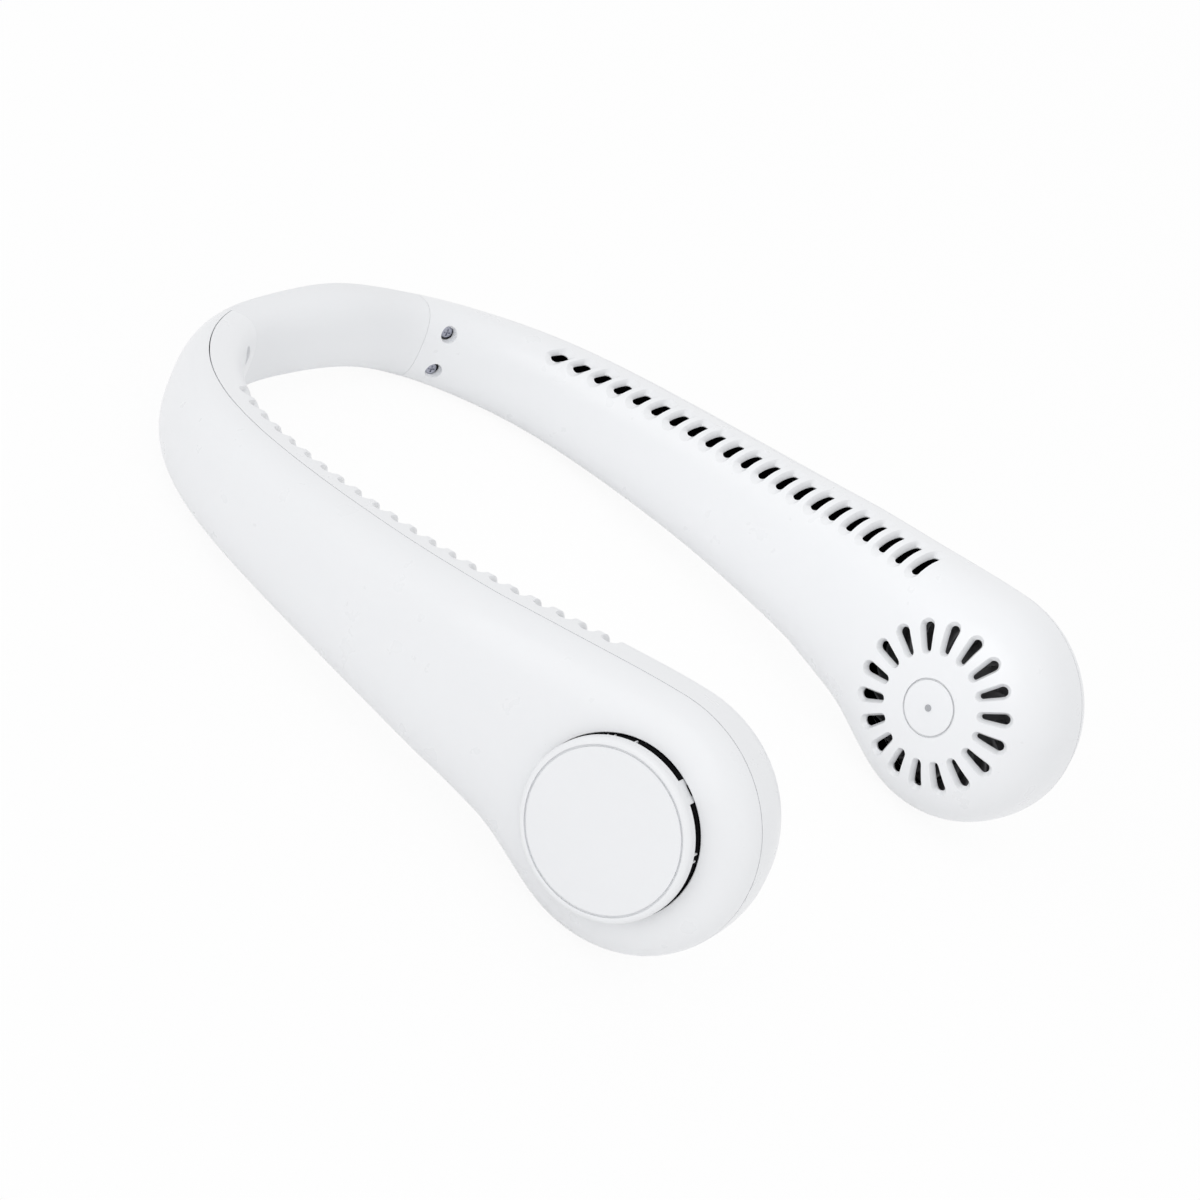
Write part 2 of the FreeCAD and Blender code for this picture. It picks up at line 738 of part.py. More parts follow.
# Every piece in the worn frame, then set down on the table.
in_head = {
    "intake_cap": cap, "cap_disc": cap_disc, "motor": motor, "impeller": impeller, "shaft": shaft,
}
pieces = {"neck_band": band, "band_core": core, "band_cable": cable}
arms = {"inner_cover": inner_cover, "outer_shell": outer_shell, "cover_screws": screws,
        "duct_floor": duct_floor, "battery": battery}
for name, shape in in_head.items():
    arms[name] = placed(shape, head_place)
for name, shape in arms.items():
    pieces["left_" + name] = shape
    pieces["right_" + name] = mirrored(shape)
pieces["left_inner_cover"] = left_inner_cover
pieces["left_outer_shell"] = left_outer_shell
pieces["left_hub_badge"] = placed(hub_badge(1), head_place)
pieces["right_hub_badge"] = mirrored(placed(hub_badge(2), head_place))
pieces["circuit_board"] = board
pieces["usb_socket"] = usb_socket
pieces["power_switch"] = power_switch
pieces["power_button"] = power_button
pieces["indicator_window"] = indicator_window


def lowest(pitch, stations):
    """Lowest height of the sections at some stations once the fan is pitched forward."""
    turn = math.radians(pitch)
    heights = []
    for station in stations:
        place, forward = path_point(station)
        outward = outward_of(forward)
        sizes = section_sizes(station)
        for i in range(rim_points):
            out, rise = section_offset(2 * math.pi * i / rim_points, sizes)
            point = place + outward * out + up * rise
            heights.append(point.z * math.cos(turn) - point.y * math.sin(turn))
    return min(heights)


def head_lowest(pitch):
    """Lowest height of the round head's rim once the fan is pitched forward."""
    turn = math.radians(pitch)
    heights = []
    for i in range(rim_points):
        angle = 2 * math.pi * i / rim_points
        point = head_centre + (up * math.sin(angle) + head_forward * math.cos(angle)) * head_radius
        heights.append(point.z * math.cos(turn) - point.y * math.sin(turn))
    return min(heights)


# The pitch at which the heads and the rear of the arms touch the table together.
low, high = -steepest_rest, steepest_rest
rear_stations = spread(0.0, middle_station, rear_points)
for _ in range(rest_steps):
    pitch = (low + high) / 2
    if head_lowest(pitch) > lowest(pitch, rear_stations):
        high = pitch
    else:
        low = pitch
rest_turn = FreeCAD.Rotation(Vector(1, 0, 0), -pitch)
print("rest pitch", round(pitch, 4))
pitched = FreeCAD.Placement(Vector(0, 0, 0), rest_turn)
widest = ["left_outer_shell", "left_inner_cover", "neck_band", "left_intake_cap"]
turned = Part.makeCompound([placed(pieces[name], pitched) for name in widest])
box = turned.optimalBoundingBox(False)
rest = FreeCAD.Placement(Vector(0, -(box.YMin + box.YMax) / 2, -box.ZMin), rest_turn)
print("rest shift", [round(v, 4) for v in rest.Base])

os.makedirs("parts", exist_ok=True)
for name, shape in pieces.items():
    solid = placed(shape, rest)
    print(name, len(solid.Solids), round(solid.Volume, 2), solid.isValid())
    solid.exportStep("parts/" + name + ".step")


def told(name, point, direction):
    """Prints where a moving piece turns or slides, in the resting frame."""
    place = [round(v, 4) for v in rest.multVec(point)]
    print(name, place, [round(v, 6) for v in rest_turn.multVec(direction)])


told("left flex axis", path_point(flex_station)[0], up)
told("left fan axis", head_centre, head_outward)
told("left cap face", head_centre + head_outward * cap_top, head_outward)
told("button axis", button_place.Base, board_outward)
told("socket mouth", socket_place.Base, up * -1)
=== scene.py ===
# %% [markdown]
# # An electric neck fan
# The fan is a soft band that goes round the back of the neck, with a hollow arm on each end.
# Each arm is two white shells clamped over the band's tongue, and swells into a round head with
# a fan in it. Air goes in under the cap on the outside of the head, and out through the slots
# along the top of the arm and the grille on the inside of the head.
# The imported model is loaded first. It fixes where every piece sits and how it moves.

import math

import bmesh
import bpy
import numpy as np
from mathutils import Matrix, Vector
from mathutils.bvhtree import BVHTree
from mathutils.interpolate import poly_3d_calc


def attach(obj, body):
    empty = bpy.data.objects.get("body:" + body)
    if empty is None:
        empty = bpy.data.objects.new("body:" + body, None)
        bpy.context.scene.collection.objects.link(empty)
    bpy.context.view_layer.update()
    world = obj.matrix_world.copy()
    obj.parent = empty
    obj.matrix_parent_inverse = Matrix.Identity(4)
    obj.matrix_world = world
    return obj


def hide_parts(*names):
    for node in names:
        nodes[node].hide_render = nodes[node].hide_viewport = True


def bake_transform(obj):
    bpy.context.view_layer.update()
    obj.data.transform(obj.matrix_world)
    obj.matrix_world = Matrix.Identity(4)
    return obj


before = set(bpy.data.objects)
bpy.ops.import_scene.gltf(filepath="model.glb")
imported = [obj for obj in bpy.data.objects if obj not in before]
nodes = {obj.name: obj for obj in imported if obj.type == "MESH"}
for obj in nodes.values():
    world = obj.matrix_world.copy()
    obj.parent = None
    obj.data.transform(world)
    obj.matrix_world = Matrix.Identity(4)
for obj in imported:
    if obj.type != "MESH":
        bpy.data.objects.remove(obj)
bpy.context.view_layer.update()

# %% [markdown]
# ## The line that the fan follows
# The band and the arms are swept along one level curve: half of it is drawn here, from the
# middle of the band to the fan's axis, and the other half is its mirror image. It is a smooth
# cubic through six points, so the sections glide along it with no kinks. Lengths are in
# millimetres in the worn position, with x to the wearer's left, y to the back and z up.

# %% Mid path
PLAN = np.array([(0, 0), (36.6, -0.5), (68.6, -21.5),
                 (83.5, -59.2), (87.7, -117.7), (82.6, -170.8)])
START_PULL, END_PULL = 1.32787, 2.82897
PATH_POINTS = 6000


def cubic_through(points, start_slope, end_slope, count):
    """Evenly stepped points on the smooth cubic that passes through some points."""
    chord = np.linalg.norm(np.diff(points, axis=0), axis=1)
    knots = np.concatenate([[0], np.cumsum(chord)])
    system, wanted = np.eye(len(points)), np.zeros((len(points), 2))
    wanted[0], wanted[-1] = start_slope, end_slope
    for i in range(1, len(points) - 1):
        before, after = chord[i - 1], chord[i]
        system[i, i - 1:i + 2] = after, 2 * (before + after), before
        step_in, step_out = points[i] - points[i - 1], points[i + 1] - points[i]
        wanted[i] = 3 * (after / before * step_in + before / after * step_out)
    slopes = np.linalg.solve(system, wanted)
    at = np.linspace(0, knots[-1], count)
    i = np.clip(np.searchsorted(knots, at, side="right") - 1, 0, len(points) - 2)
    span = chord[i][:, None]
    x = (at[:, None] - knots[i][:, None]) / span
    swing = slopes[i] * x * (1 - x) ** 2 - slopes[i + 1] * x * x * (1 - x)
    return (points[i] * (1 + 2 * x) * (1 - x) ** 2
            + points[i + 1] * x * x * (3 - 2 * x) + span * swing)


last_step = PLAN[-1] - PLAN[-2]
end_pull = last_step / np.linalg.norm(last_step) * END_PULL
path = cubic_through(PLAN, (START_PULL, 0), end_pull, PATH_POINTS)
path_station = np.concatenate([[0], np.cumsum(np.linalg.norm(np.diff(path, axis=0), axis=1))])
path_heading = np.gradient(path, path_station, axis=0)
HEAD_STATION = path_station[-1]
print("length of half the path:", round(HEAD_STATION, 2), "mm")


def path_at(station):
    """Place and heading on the mid path, each as x and y."""
    place = [np.interp(station, path_station, path[:, k]) for k in (0, 1)]
    heading = [np.interp(station, path_station, path_heading[:, k]) for k in (0, 1)]
    return place, heading


# %% [markdown]
# ## The skin of the arms
# A section of the arm is a rounded square drawn as a superellipse: the flanks stay nearly flat
# and the corners turn softly, as on a moulded shell. Its top, bottom and thickness change along
# the arm. Towards the end it grows into the round head, and past the fan's axis the head closes
# like half a ball. One function gives any point of this skin, so every piece that touches it
# fits it.

# %% Sections
SEAM = 39.0
NECK_REACH = 32.0
NECK = HEAD_STATION - NECK_REACH
EDGE_STATIONS = np.array([0.0, SEAM, 92.0, 150.0, NECK])
TOPS = np.array([16.7, 12.3, 10.9, 12.6, 16.2])
BOTTOMS = np.array([-5.0, -9.8, -16.4, -23.0, -32.0])
HALF_STATIONS = np.concatenate([EDGE_STATIONS, [HEAD_STATION, HEAD_STATION + NECK_REACH]])
INNER_HALVES = np.array([7.4, 6.9, 10.6, 13.1, 17.9, 20.8, 17.9])
OUTER_HALVES = np.array([7.4, 6.9, 10.6, 13.1, 12.2, 12.6, 12.2])
HEAD_RADIUS, HEAD_Z = 31.0, -12.7
TOP_JOIN, BOTTOM_JOIN = math.radians(1), math.radians(17.5)
SQUARE = 2.7


def ramp(x):
    """Smooth rise from 0 to 1."""
    return x * x * (3 - 2 * x)


def smooth_through(stations, values, last_slope, at):
    """Cubic value at each station, level at the first and with a given slope at the last."""
    slopes = np.zeros(len(values))
    slopes[1:-1] = (values[2:] - values[:-2]) / (stations[2:] - stations[:-2])
    slopes[-1] = last_slope
    i = np.clip(np.searchsorted(stations, at, side="right") - 1, 0, len(stations) - 2)
    span = stations[i + 1] - stations[i]
    x = (at - stations[i]) / span
    swing = span * (slopes[i] * x * (1 - x) ** 2 - slopes[i + 1] * x * x * (1 - x))
    return values[i] * (1 - ramp(x)) + values[i + 1] * ramp(x) + swing


def edge_height(heights, turn, way, station):
    """Height of the top edge (way 1) or bottom edge (way -1), which runs onto the head's circle."""
    join = HEAD_STATION - HEAD_RADIUS * math.sin(turn)
    stations = np.append(EDGE_STATIONS, join)
    values = np.append(heights, HEAD_Z + way * HEAD_RADIUS * math.cos(turn))
    arm = smooth_through(stations, values, way * math.tan(turn), np.minimum(station, join))
    chord = np.sqrt(np.clip(HEAD_RADIUS ** 2 - (HEAD_STATION - station) ** 2, 0, None))
    return np.where(station < join, arm, HEAD_Z + way * chord)


def section_sizes(station):
    """Top, bottom, inner and outer half thickness at each station."""
    top = edge_height(TOPS, TOP_JOIN, 1, station)
    bottom = edge_height(BOTTOMS, BOTTOM_JOIN, -1, station)
    inner, outer = [smooth_through(HALF_STATIONS, halves, 0, station)
                    for halves in (INNER_HALVES, OUTER_HALVES)]
    return top, bottom, inner, outer


def front_of_head(along):
    """Angle past the fan's axis, and the share of the head's thickness that is left there."""
    turn = np.clip((along - HEAD_STATION) / HEAD_RADIUS, 0, math.pi / 2)
    return turn, np.clip(1 - np.sin(turn) ** SQUARE, 0, 1) ** (1 / SQUARE)


def skin(along, angle, inset=0.0):
    """Points of the skin. Past the fan's axis, along counts the arc to the tip of the head.
    The angle goes from outward through up to inward."""
    along, angle = np.broadcast_arrays(np.asarray(along, float), np.asarray(angle, float))
    station = np.minimum(along, HEAD_STATION)
    turn, thin = front_of_head(along)
    top, bottom, inner, outer = section_sizes(station)
    c, s = np.cos(angle), np.sin(angle)
    reach = (np.abs(c) ** SQUARE + np.abs(s) ** SQUARE) ** (-1 / SQUARE)
    out = (np.where(c < 0, inner, outer) - inset) * reach * c * thin
    ahead = (HEAD_RADIUS - inset) * np.sin(turn)
    (x, y), (hx, hy) = path_at(station)
    rise = (top + bottom) / 2 + ((top - bottom) / 2 - inset) * reach * s * np.cos(turn)
    return np.stack([x + hx * ahead - hy * out, y + hy * ahead + hx * out, rise], -1)


# %% [markdown]
# ## From the worn position to the table
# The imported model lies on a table: the fan is pitched forward until its heads and the rear of
# its arms touch the table together. Every mesh is worked out in the worn position, in
# millimetres, where the numbers are handy for cutting small slots. It is turned and scaled to
# metres only when it becomes a piece. Pieces of the right arm are mirror images.

# %% Making pieces
PITCH = math.radians(11.1841)
SHIFT = (0.0, 95.9959, 10.3262)
MM_PER_METRE = 1000
WELD_DISTANCE = 1e-4
SKIN_MATCH = 0.9


def to_rest(points, side=1):
    """Worn position in millimetres to the resting frame in metres."""
    x, y, z = np.asarray(points, float).reshape(-1, 3).T
    turned_y = y * math.cos(PITCH) + z * math.sin(PITCH)
    turned_z = z * math.cos(PITCH) - y * math.sin(PITCH)
    return (np.stack([side * x, turned_y, turned_z], -1) + SHIFT) / MM_PER_METRE


def mesh_of(name, points, faces, slots=None):
    """A welded mesh with its faces turned outward, in the worn position."""
    mesh = bpy.data.meshes.new(name)
    mesh.from_pydata([tuple(p) for p in np.asarray(points).reshape(-1, 3)], [], faces)
    if slots is not None:
        mesh.polygons.foreach_set("material_index", slots)
    shape = bmesh.new()
    shape.from_mesh(mesh)
    bmesh.ops.remove_doubles(shape, verts=shape.verts, dist=WELD_DISTANCE)
    bmesh.ops.recalc_face_normals(shape, faces=shape.faces)
    if shape.calc_volume(signed=True) < 0:
        bmesh.ops.reverse_faces(shape, faces=shape.faces)
    shape.to_mesh(mesh)
    shape.free()
    return mesh


def make_piece(name, mesh, side, materials, body=None, stands_for=(), crease=40,
               normals=None):
    """A mesh from the worn position becomes a piece of the resting fan. Where normals are given,
    the corners of faces that lie along them take them, and the others keep their own."""
    mesh = mesh.copy()
    mesh.name = name
    points = np.empty(len(mesh.vertices) * 3)
    mesh.vertices.foreach_get("co", points)
    mesh.vertices.foreach_set("co", to_rest(points, side).ravel())
    if side < 0:
        mesh.flip_normals()
    face_slots = np.empty(len(mesh.polygons), int)
    mesh.polygons.foreach_get("material_index", face_slots)
    mesh.materials.clear()
    for material in materials:
        mesh.materials.append(material)
    mesh.polygons.foreach_set("material_index", face_slots)
    mesh.polygons.foreach_set("use_smooth", [True] * len(mesh.polygons))
    mesh.set_sharp_from_angle(angle=math.radians(crease))
    mesh.update()
    if normals is not None:
        turned = (to_rest(normals, side) - to_rest((0, 0, 0))) * MM_PER_METRE
        corner_point = np.empty(len(mesh.loops), int)
        corners_of = np.empty(len(mesh.polygons), int)
        facing = np.empty(len(mesh.polygons) * 3)
        mesh.loops.foreach_get("vertex_index", corner_point)
        mesh.polygons.foreach_get("loop_total", corners_of)
        mesh.polygons.foreach_get("normal", facing)
        wanted = turned[corner_point]
        faced = np.repeat(facing.reshape(-1, 3), corners_of, axis=0)
        on_skin = np.sum(wanted * faced, axis=1) > SKIN_MATCH
        mesh.normals_split_custom_set((wanted * on_skin[:, None]).tolist())
    piece = bpy.data.objects.new(name, mesh)
    bpy.context.scene.collection.objects.link(piece)
    if body:
        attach(piece, body)
    if stands_for:
        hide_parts(*stands_for)
    return piece


def grid_faces(rows, columns, first=0):
    """Quads of a grid of points numbered row by row."""
    i, j = np.meshgrid(np.arange(rows - 1), np.arange(columns - 1), indexing="ij")
    a = first + i * columns + j
    return np.stack([a, a + 1, a + columns + 1, a + columns], -1).reshape(-1, 4).tolist()


# %% [markdown]
# ## Finishes
# The shells are glossy white moulded plastic. Up close such plastic is never perfectly even: the
# mould leaves a faint ripple, the gloss drifts a little, and the surface has a very fine grain.
# Each finish is built from noise at those three sizes: one drifts the colour, one the gloss, and
# one raises a grain. The band is the same white in matt silicone, with a coarser grain.

# %% Material kit
COLOUR_DETAIL, FINE_DETAIL = 3, 4
GLOSS_FINER, GRAIN_STRENGTH = 4, 0.5


def finish(name, light, dark, gloss, drift, grain, lift, **settings):
    """A procedural finish: colour between two tones, roughness in a range, and a raised grain.
    drift and grain are sizes in metres, and lift is the height of the grain."""
    made = bpy.data.materials.new(name)
    made.use_nodes = True
    tree = made.node_tree
    shader = tree.nodes["Principled BSDF"]
    place = tree.nodes.new("ShaderNodeTexCoord")
    for key, value in settings.items():
        shader.inputs[key.replace("_", " ").title().replace("Ior", "IOR")].default_value = value

    def noise(size, detail):
        made_noise = tree.nodes.new("ShaderNodeTexNoise")
        made_noise.inputs["Scale"].default_value = 1 / size
        made_noise.inputs["Detail"].default_value = detail
        tree.links.new(place.outputs["Object"], made_noise.inputs["Vector"])
        return made_noise.outputs["Fac"]

    colours = tree.nodes.new("ShaderNodeValToRGB")
    colours.color_ramp.elements[0].color = (*dark, 1)
    colours.color_ramp.elements[1].color = (*light, 1)
    tree.links.new(noise(drift, COLOUR_DETAIL), colours.inputs["Fac"])
    tree.links.new(colours.outputs["Color"], shader.inputs["Base Color"])
    rough = tree.nodes.new("ShaderNodeMapRange")
    rough.inputs["To Min"].default_value, rough.inputs["To Max"].default_value = gloss
    tree.links.new(noise(drift / GLOSS_FINER, FINE_DETAIL), rough.inputs["Value"])
    tree.links.new(rough.outputs["Result"], shader.inputs["Roughness"])
    bump = tree.nodes.new("ShaderNodeBump")
    bump.inputs["Distance"].default_value = lift
    bump.inputs["Strength"].default_value = GRAIN_STRENGTH
    tree.links.new(noise(grain, FINE_DETAIL), bump.inputs["Height"])
    tree.links.new(bump.outputs["Normal"], shader.inputs["Normal"])
    return made


# %% The finishes
white = finish("white_shell", (0.85, 0.86, 0.875), (0.838, 0.848, 0.863), gloss=(0.24, 0.34),
               drift=0.03, grain=0.0006, lift=4e-6)
trim = finish("white_trim", (0.845, 0.855, 0.87), (0.833, 0.843, 0.858), gloss=(0.28, 0.38),
              drift=0.02, grain=0.0005, lift=4e-6)
silicone = finish("soft_white", (0.84, 0.85, 0.865), (0.828, 0.838, 0.853), gloss=(0.45, 0.6),
                  drift=0.02, grain=0.0004, lift=1.2e-5)
black = finish("black_plastic", (0.016, 0.016, 0.017), (0.010, 0.010, 0.011), gloss=(0.45, 0.65),
               drift=0.01, grain=0.0005, lift=1.5e-5)
# Near black, barely reflecting: painted shade for the arms' hollow inside and the cap's seat ring.
painted_shade_black = finish("painted_shade_black", (0.006, 0.006, 0.007), (0.004, 0.004, 0.005), gloss=(0.7, 0.85),
                     drift=0.01, grain=0.0005, lift=1e-5, specular_ior_level=0.1)
impeller_grey = finish("impeller_grey", (0.24, 0.24, 0.25), (0.19, 0.19, 0.20), gloss=(0.2, 0.3),
                       drift=0.006, grain=0.0005, lift=1e-5)
mark_grey = finish("mark_grey", (0.40, 0.41, 0.43), (0.36, 0.37, 0.39), gloss=(0.4, 0.5),
                   drift=0.002, grain=0.0003, lift=4e-6)
screw_steel = finish("screw_steel", (0.44, 0.45, 0.52), (0.36, 0.37, 0.43), gloss=(0.4, 0.55),
                     drift=0.002, grain=0.0003, lift=6e-6, metallic=1.0)
motor_steel = finish("motor_steel", (0.56, 0.56, 0.57), (0.44, 0.44, 0.45), gloss=(0.25, 0.45),
                     drift=0.004, grain=0.0004, lift=8e-6, metallic=1.0)
spring_steel = finish("spring_steel", (0.50, 0.51, 0.53), (0.40, 0.41, 0.43), gloss=(0.2, 0.35),
                      drift=0.006, grain=0.0005, lift=5e-6, metallic=1.0)
cable_black = finish("cable_black", (0.03, 0.03, 0.032), (0.02, 0.02, 0.021), gloss=(0.5, 0.65),
                     drift=0.004, grain=0.0004, lift=1e-5)
foil = finish("battery_foil", (0.55, 0.56, 0.60), (0.45, 0.46, 0.50), gloss=(0.25, 0.5),
              drift=0.004, grain=0.0012, lift=5e-5, metallic=0.8)
board_green = finish("board_green", (0.02, 0.20, 0.08), (0.012, 0.13, 0.05), gloss=(0.3, 0.42),
                     drift=0.003, grain=0.0006, lift=1e-5)
window = finish("clear_window", (0.86, 0.90, 0.92), (0.80, 0.85, 0.88), gloss=(0.06, 0.14),
                drift=0.002, grain=0.0004, lift=4e-6, transmission_weight=0.75, ior=1.49)
finishes = (white, trim, silicone, black, painted_shade_black, impeller_grey, mark_grey, screw_steel,
            motor_steel, spring_steel, cable_black, foil, board_green, window)
print("finishes:", [made.name for made in finishes])

# %% [markdown]
# ## The two shells of an arm
# A shell is a thin closed solid: the white skin, an inner face one wall thickness inside it, and
# a lip where it meets the other shell. The inner face is coloured near black, painted shade for the
# hollow inside of the arm. The parting line runs a little to the outside of the mid path, as on the
# real fan, where the inner cover carries all the holes and the outer shell stays clean. Rows of
# points follow the sections, and round the head the rows crowd together where the parting line
# closes.

# %% Shell solids
WALL = 1.8
PARTING, PARTING_GAP = 2.5, 0.25
ROW_STEP, COLUMNS = 1.2, 73
HEAD_ROWS, TIP_ROWS = 34, 7
HEAD_OUTER_HALF = OUTER_HALVES[5]


def parting_angle(along, offset):
    """Angle at which the skin crosses the parting line, 0 where it lies inside it."""
    outer = section_sizes(np.minimum(along, HEAD_STATION))[3]
    ratio = outer * front_of_head(along)[1] / offset
    return np.arctan(np.clip(ratio ** SQUARE - 1, 0, None) ** (1 / SQUARE))


def shell_solid(name, offset, inner):
    """One shell of the left arm: points, faces and finish slots (0 skin, 1 painted shade)."""
    closing = math.asin((1 - (offset / HEAD_OUTER_HALF) ** SQUARE) ** (1 / SQUARE))
    arm = np.linspace(SEAM, HEAD_STATION, int((HEAD_STATION - SEAM) / ROW_STEP))[:-1]
    turns = np.arcsin(math.sin(closing) * np.sin(np.linspace(0, math.pi / 2, HEAD_ROWS)))
    if inner:
        turns = np.concatenate([turns, np.linspace(closing, math.pi / 2, TIP_ROWS)[1:]])
    along = np.concatenate([arm, HEAD_STATION + HEAD_RADIUS * turns])
    share = (HEAD_STATION - SEAM - WALL) / (HEAD_STATION - SEAM)
    shaded_inside_along = np.where(along < HEAD_STATION,
                            HEAD_STATION - (HEAD_STATION - along) * share, along)
    edge = parting_angle(along, offset)[:, None]
    across = np.linspace(0, 1, COLUMNS)[None, :]
    angle = edge + across * 2 * (math.pi - edge) if inner else edge * (2 * across - 1)
    rows, size = len(along), len(along) * COLUMNS
    points = np.concatenate([skin(along[:, None], angle).reshape(-1, 3),
                             skin(shaded_inside_along[:, None], angle, WALL).reshape(-1, 3)])
    faces = grid_faces(rows, COLUMNS)
    slots = [0] * len(faces)
    shaded_inside = grid_faces(rows, COLUMNS, size)
    faces += shaded_inside
    slots += [1] * len(shaded_inside)
    lip_rows = len(arm) + HEAD_ROWS
    for j in (0, COLUMNS - 1):
        for i in range(lip_rows - 1):
            a, b = i * COLUMNS + j, (i + 1) * COLUMNS + j
            faces.append([a, b, b + size, a + size])
    faces.append(list(range(COLUMNS)))
    faces.append(list(range(size, size + COLUMNS)))
    faces.append([0, COLUMNS - 1, size + COLUMNS - 1, size])
    slots += [0] * (len(faces) - len(slots))
    outer_skin = mesh_of(name + "_skin", points[:size], grid_faces(rows, COLUMNS))
    return mesh_of(name, points, faces, slots), outer_skin


inner_solid, inner_skin = shell_solid("inner_solid", PARTING, True)
outer_solid, outer_skin = shell_solid("outer_solid", PARTING + PARTING_GAP, False)
for solid in (inner_solid, outer_solid):
    check = bmesh.new()
    check.from_mesh(solid)
    open_edges = sum(not edge.is_manifold for edge in check.edges)
    print(solid.name, len(solid.polygons), "faces, open edges:", open_edges)
    check.free()

# %% [markdown]
# ## Holes with tapered edges
# The holes of a moulded shell taper inwards, so that the pins that form them can be drawn out. On
# the air slots the taper is wide, and shows as a pale rim round the dark hole. A cutter is a tube
# whose rings follow the skin: the first two stand clear above the skin, the next ends the taper,
# and the last sets how deep the hole goes. Rays cast down onto the skin tell each ring where the
# surface is.

# %% Cutters
def joined_mesh(name, meshes, in_triangles=True):
    """Several meshes as one."""
    joined = bmesh.new()
    for mesh in meshes:
        joined.from_mesh(mesh)
    if in_triangles:
        bmesh.ops.triangulate(joined, faces=joined.faces)
    whole = bpy.data.meshes.new(name)
    joined.to_mesh(whole)
    joined.free()
    return whole


def ring_tube(rings):
    """One closed tube through rings of points, with flat ends."""
    count, rows = len(rings[0]), len(rings)
    faces = []
    for k in range(rows - 1):
        for j in range(count):
            a, b = k * count + j, k * count + (j + 1) % count
            faces.append([a, b, b + count, a + count])
    faces += [list(range(count - 1, -1, -1)), list(range((rows - 1) * count, rows * count))]
    return mesh_of("tube", np.concatenate(rings), faces)


CLEAR_ABOVE, LEAD_IN, RAY_START = 4.0, 0.3, 8.0
CAPSULE_STEPS = 9


class Cutters:
    """Collects the cutter tubes for one shell."""

    def __init__(self, skin_mesh):
        self.tree = BVHTree.FromPolygons([v.co.copy() for v in skin_mesh.vertices],
                                         [tuple(p.vertices) for p in skin_mesh.polygons])
        self.tubes = []

    def add(self, outline, origin, across, up, normal, rim, depth):
        """outline(grow) gives the hole's edge in the plane of across and up, seen against normal.
        rim says how much wider the hole is at the skin and at the end of its taper, and how
        deep the taper goes."""
        origin, across, up, normal = [np.asarray(v, float) for v in (origin, across, up, normal)]
        at_skin, at_end, taper = rim
        above_skin = at_skin + LEAD_IN * (at_skin - at_end) / taper
        steps = [(above_skin, CLEAR_ABOVE), (above_skin, LEAD_IN),
                 (at_end, -taper), (at_end, -depth)]
        rings = []
        for number, (grow, lift) in enumerate(steps):
            ring = []
            for u, v in outline(grow):
                above = origin + across * u + up * v + normal * RAY_START
                hit, face_normal, _, _ = self.tree.ray_cast(Vector(above), Vector(-normal))
                if hit is None:
                    raise ValueError("a cutter misses the skin")
                lean = normal if number in (0, len(steps) - 1) else np.array(face_normal)
                lean = lean if lean @ normal > 0 else -lean
                ring.append(np.array(hit) + lean * lift)
            rings.append(ring)
        self.tubes.append(ring_tube(rings))


def carve(solid, tubes):
    """The solid with every cutter tube taken out."""
    body, cutter = [bpy.data.objects.new(name, joined_mesh(name, meshes))
                    for name, meshes in (("carved", [solid]), ("cutters", tubes))]
    for one in (body, cutter):
        bpy.context.scene.collection.objects.link(one)
    cut = body.modifiers.new("cut", "BOOLEAN")
    cut.object, cut.operation, cut.solver = cutter, "DIFFERENCE", "MANIFOLD"
    bpy.context.view_layer.update()
    worked_out = body.evaluated_get(bpy.context.evaluated_depsgraph_get())
    carved = bpy.data.meshes.new_from_object(worked_out)
    for one in (body, cutter):
        bpy.data.objects.remove(one)
    return carved


def capsule_outline(length, width, end_taper=0.0):
    """Edge of a slot with round ends, stepped finely enough to follow a curved skin.
    With an end taper, the slot grows more in length than in width."""
    def outline(grow):
        radius, reach = width / 2 + grow, length / 2 - width / 2 + end_taper * grow
        turn = np.linspace(-math.pi / 2, math.pi / 2, CAPSULE_STEPS)
        end = np.stack([reach + radius * np.cos(turn), radius * np.sin(turn)], -1)
        run = np.linspace(reach, -reach, CAPSULE_STEPS)[1:-1]
        side = np.stack([run, np.full(len(run), radius)], -1)
        return np.concatenate([end, side, -end, -side])
    return outline


def round_outline(radius, count=32):
    """Edge of a round hole."""
    def outline(grow):
        turn = np.linspace(0, 2 * math.pi, count, endpoint=False)
        return np.stack([np.cos(turn), np.sin(turn)], -1) * (radius + grow)
    return outline


# %% [markdown]
# ## Air slots and grille
# Twenty-one slots run along the top inner edge of each arm. They are evenly spaced from back to
# front, all lean the same way, and grow longer towards the head. The grille is a sunburst of
# eighteen drops, wider at their outer ends, round a plain hub. Both are cut in the inner cover,
# with the pocket for the hub's badge, the two screw wells, and the mouth that lets the band's
# tongue in.

# %% Cut the inner cover
SLOT_COUNT, SLOT_FIRST_Y, SLOT_PITCH, SLOT_WIDTH = 21, -30.2, 5.77, 2.5
SLOT_LENGTHS = np.linspace(6.8, 10.9, SLOT_COUNT)
SLOT_ANGLES = np.radians(np.linspace(123, 118, SLOT_COUNT))
SLOT_LEAN = math.radians(11.5)
SLOT_HOLES = SLOT_LENGTHS - np.linspace(1.6, 0.6, SLOT_COUNT)
SLOT_END_TAPER = 1.8
SLOT_RIM, DROP_RIM, HOLE_DEPTH = (0.75, 0.0, 1.5), (0.6, -0.1, 1.3), 4.5
LINE_POINTS, ANGLE_STEP, STATION_STEP = 2000, 0.02, 1
DROP_COUNT, DROP_INNER, DROP_OUTER, DROP_SMALL, DROP_LARGE = 18, 14.2, 22.0, 0.8, 1.45
DROP_FIRST = math.radians(6)
DROP_OUTER_STEPS, DROP_INNER_STEPS, DROP_SIDE_STEPS = 11, 9, 6
FACE_INWARD = 16
BADGE_RADIUS, TRIM_GAP = 7.1, 0.5
POCKET_RIM, POCKET_DEPTH = (0.05, 0.0, 0.1), 0.6
SCREW_STATION, SCREW_SPACING, SCREW_WELL = 47.0, 11.0, 2.05
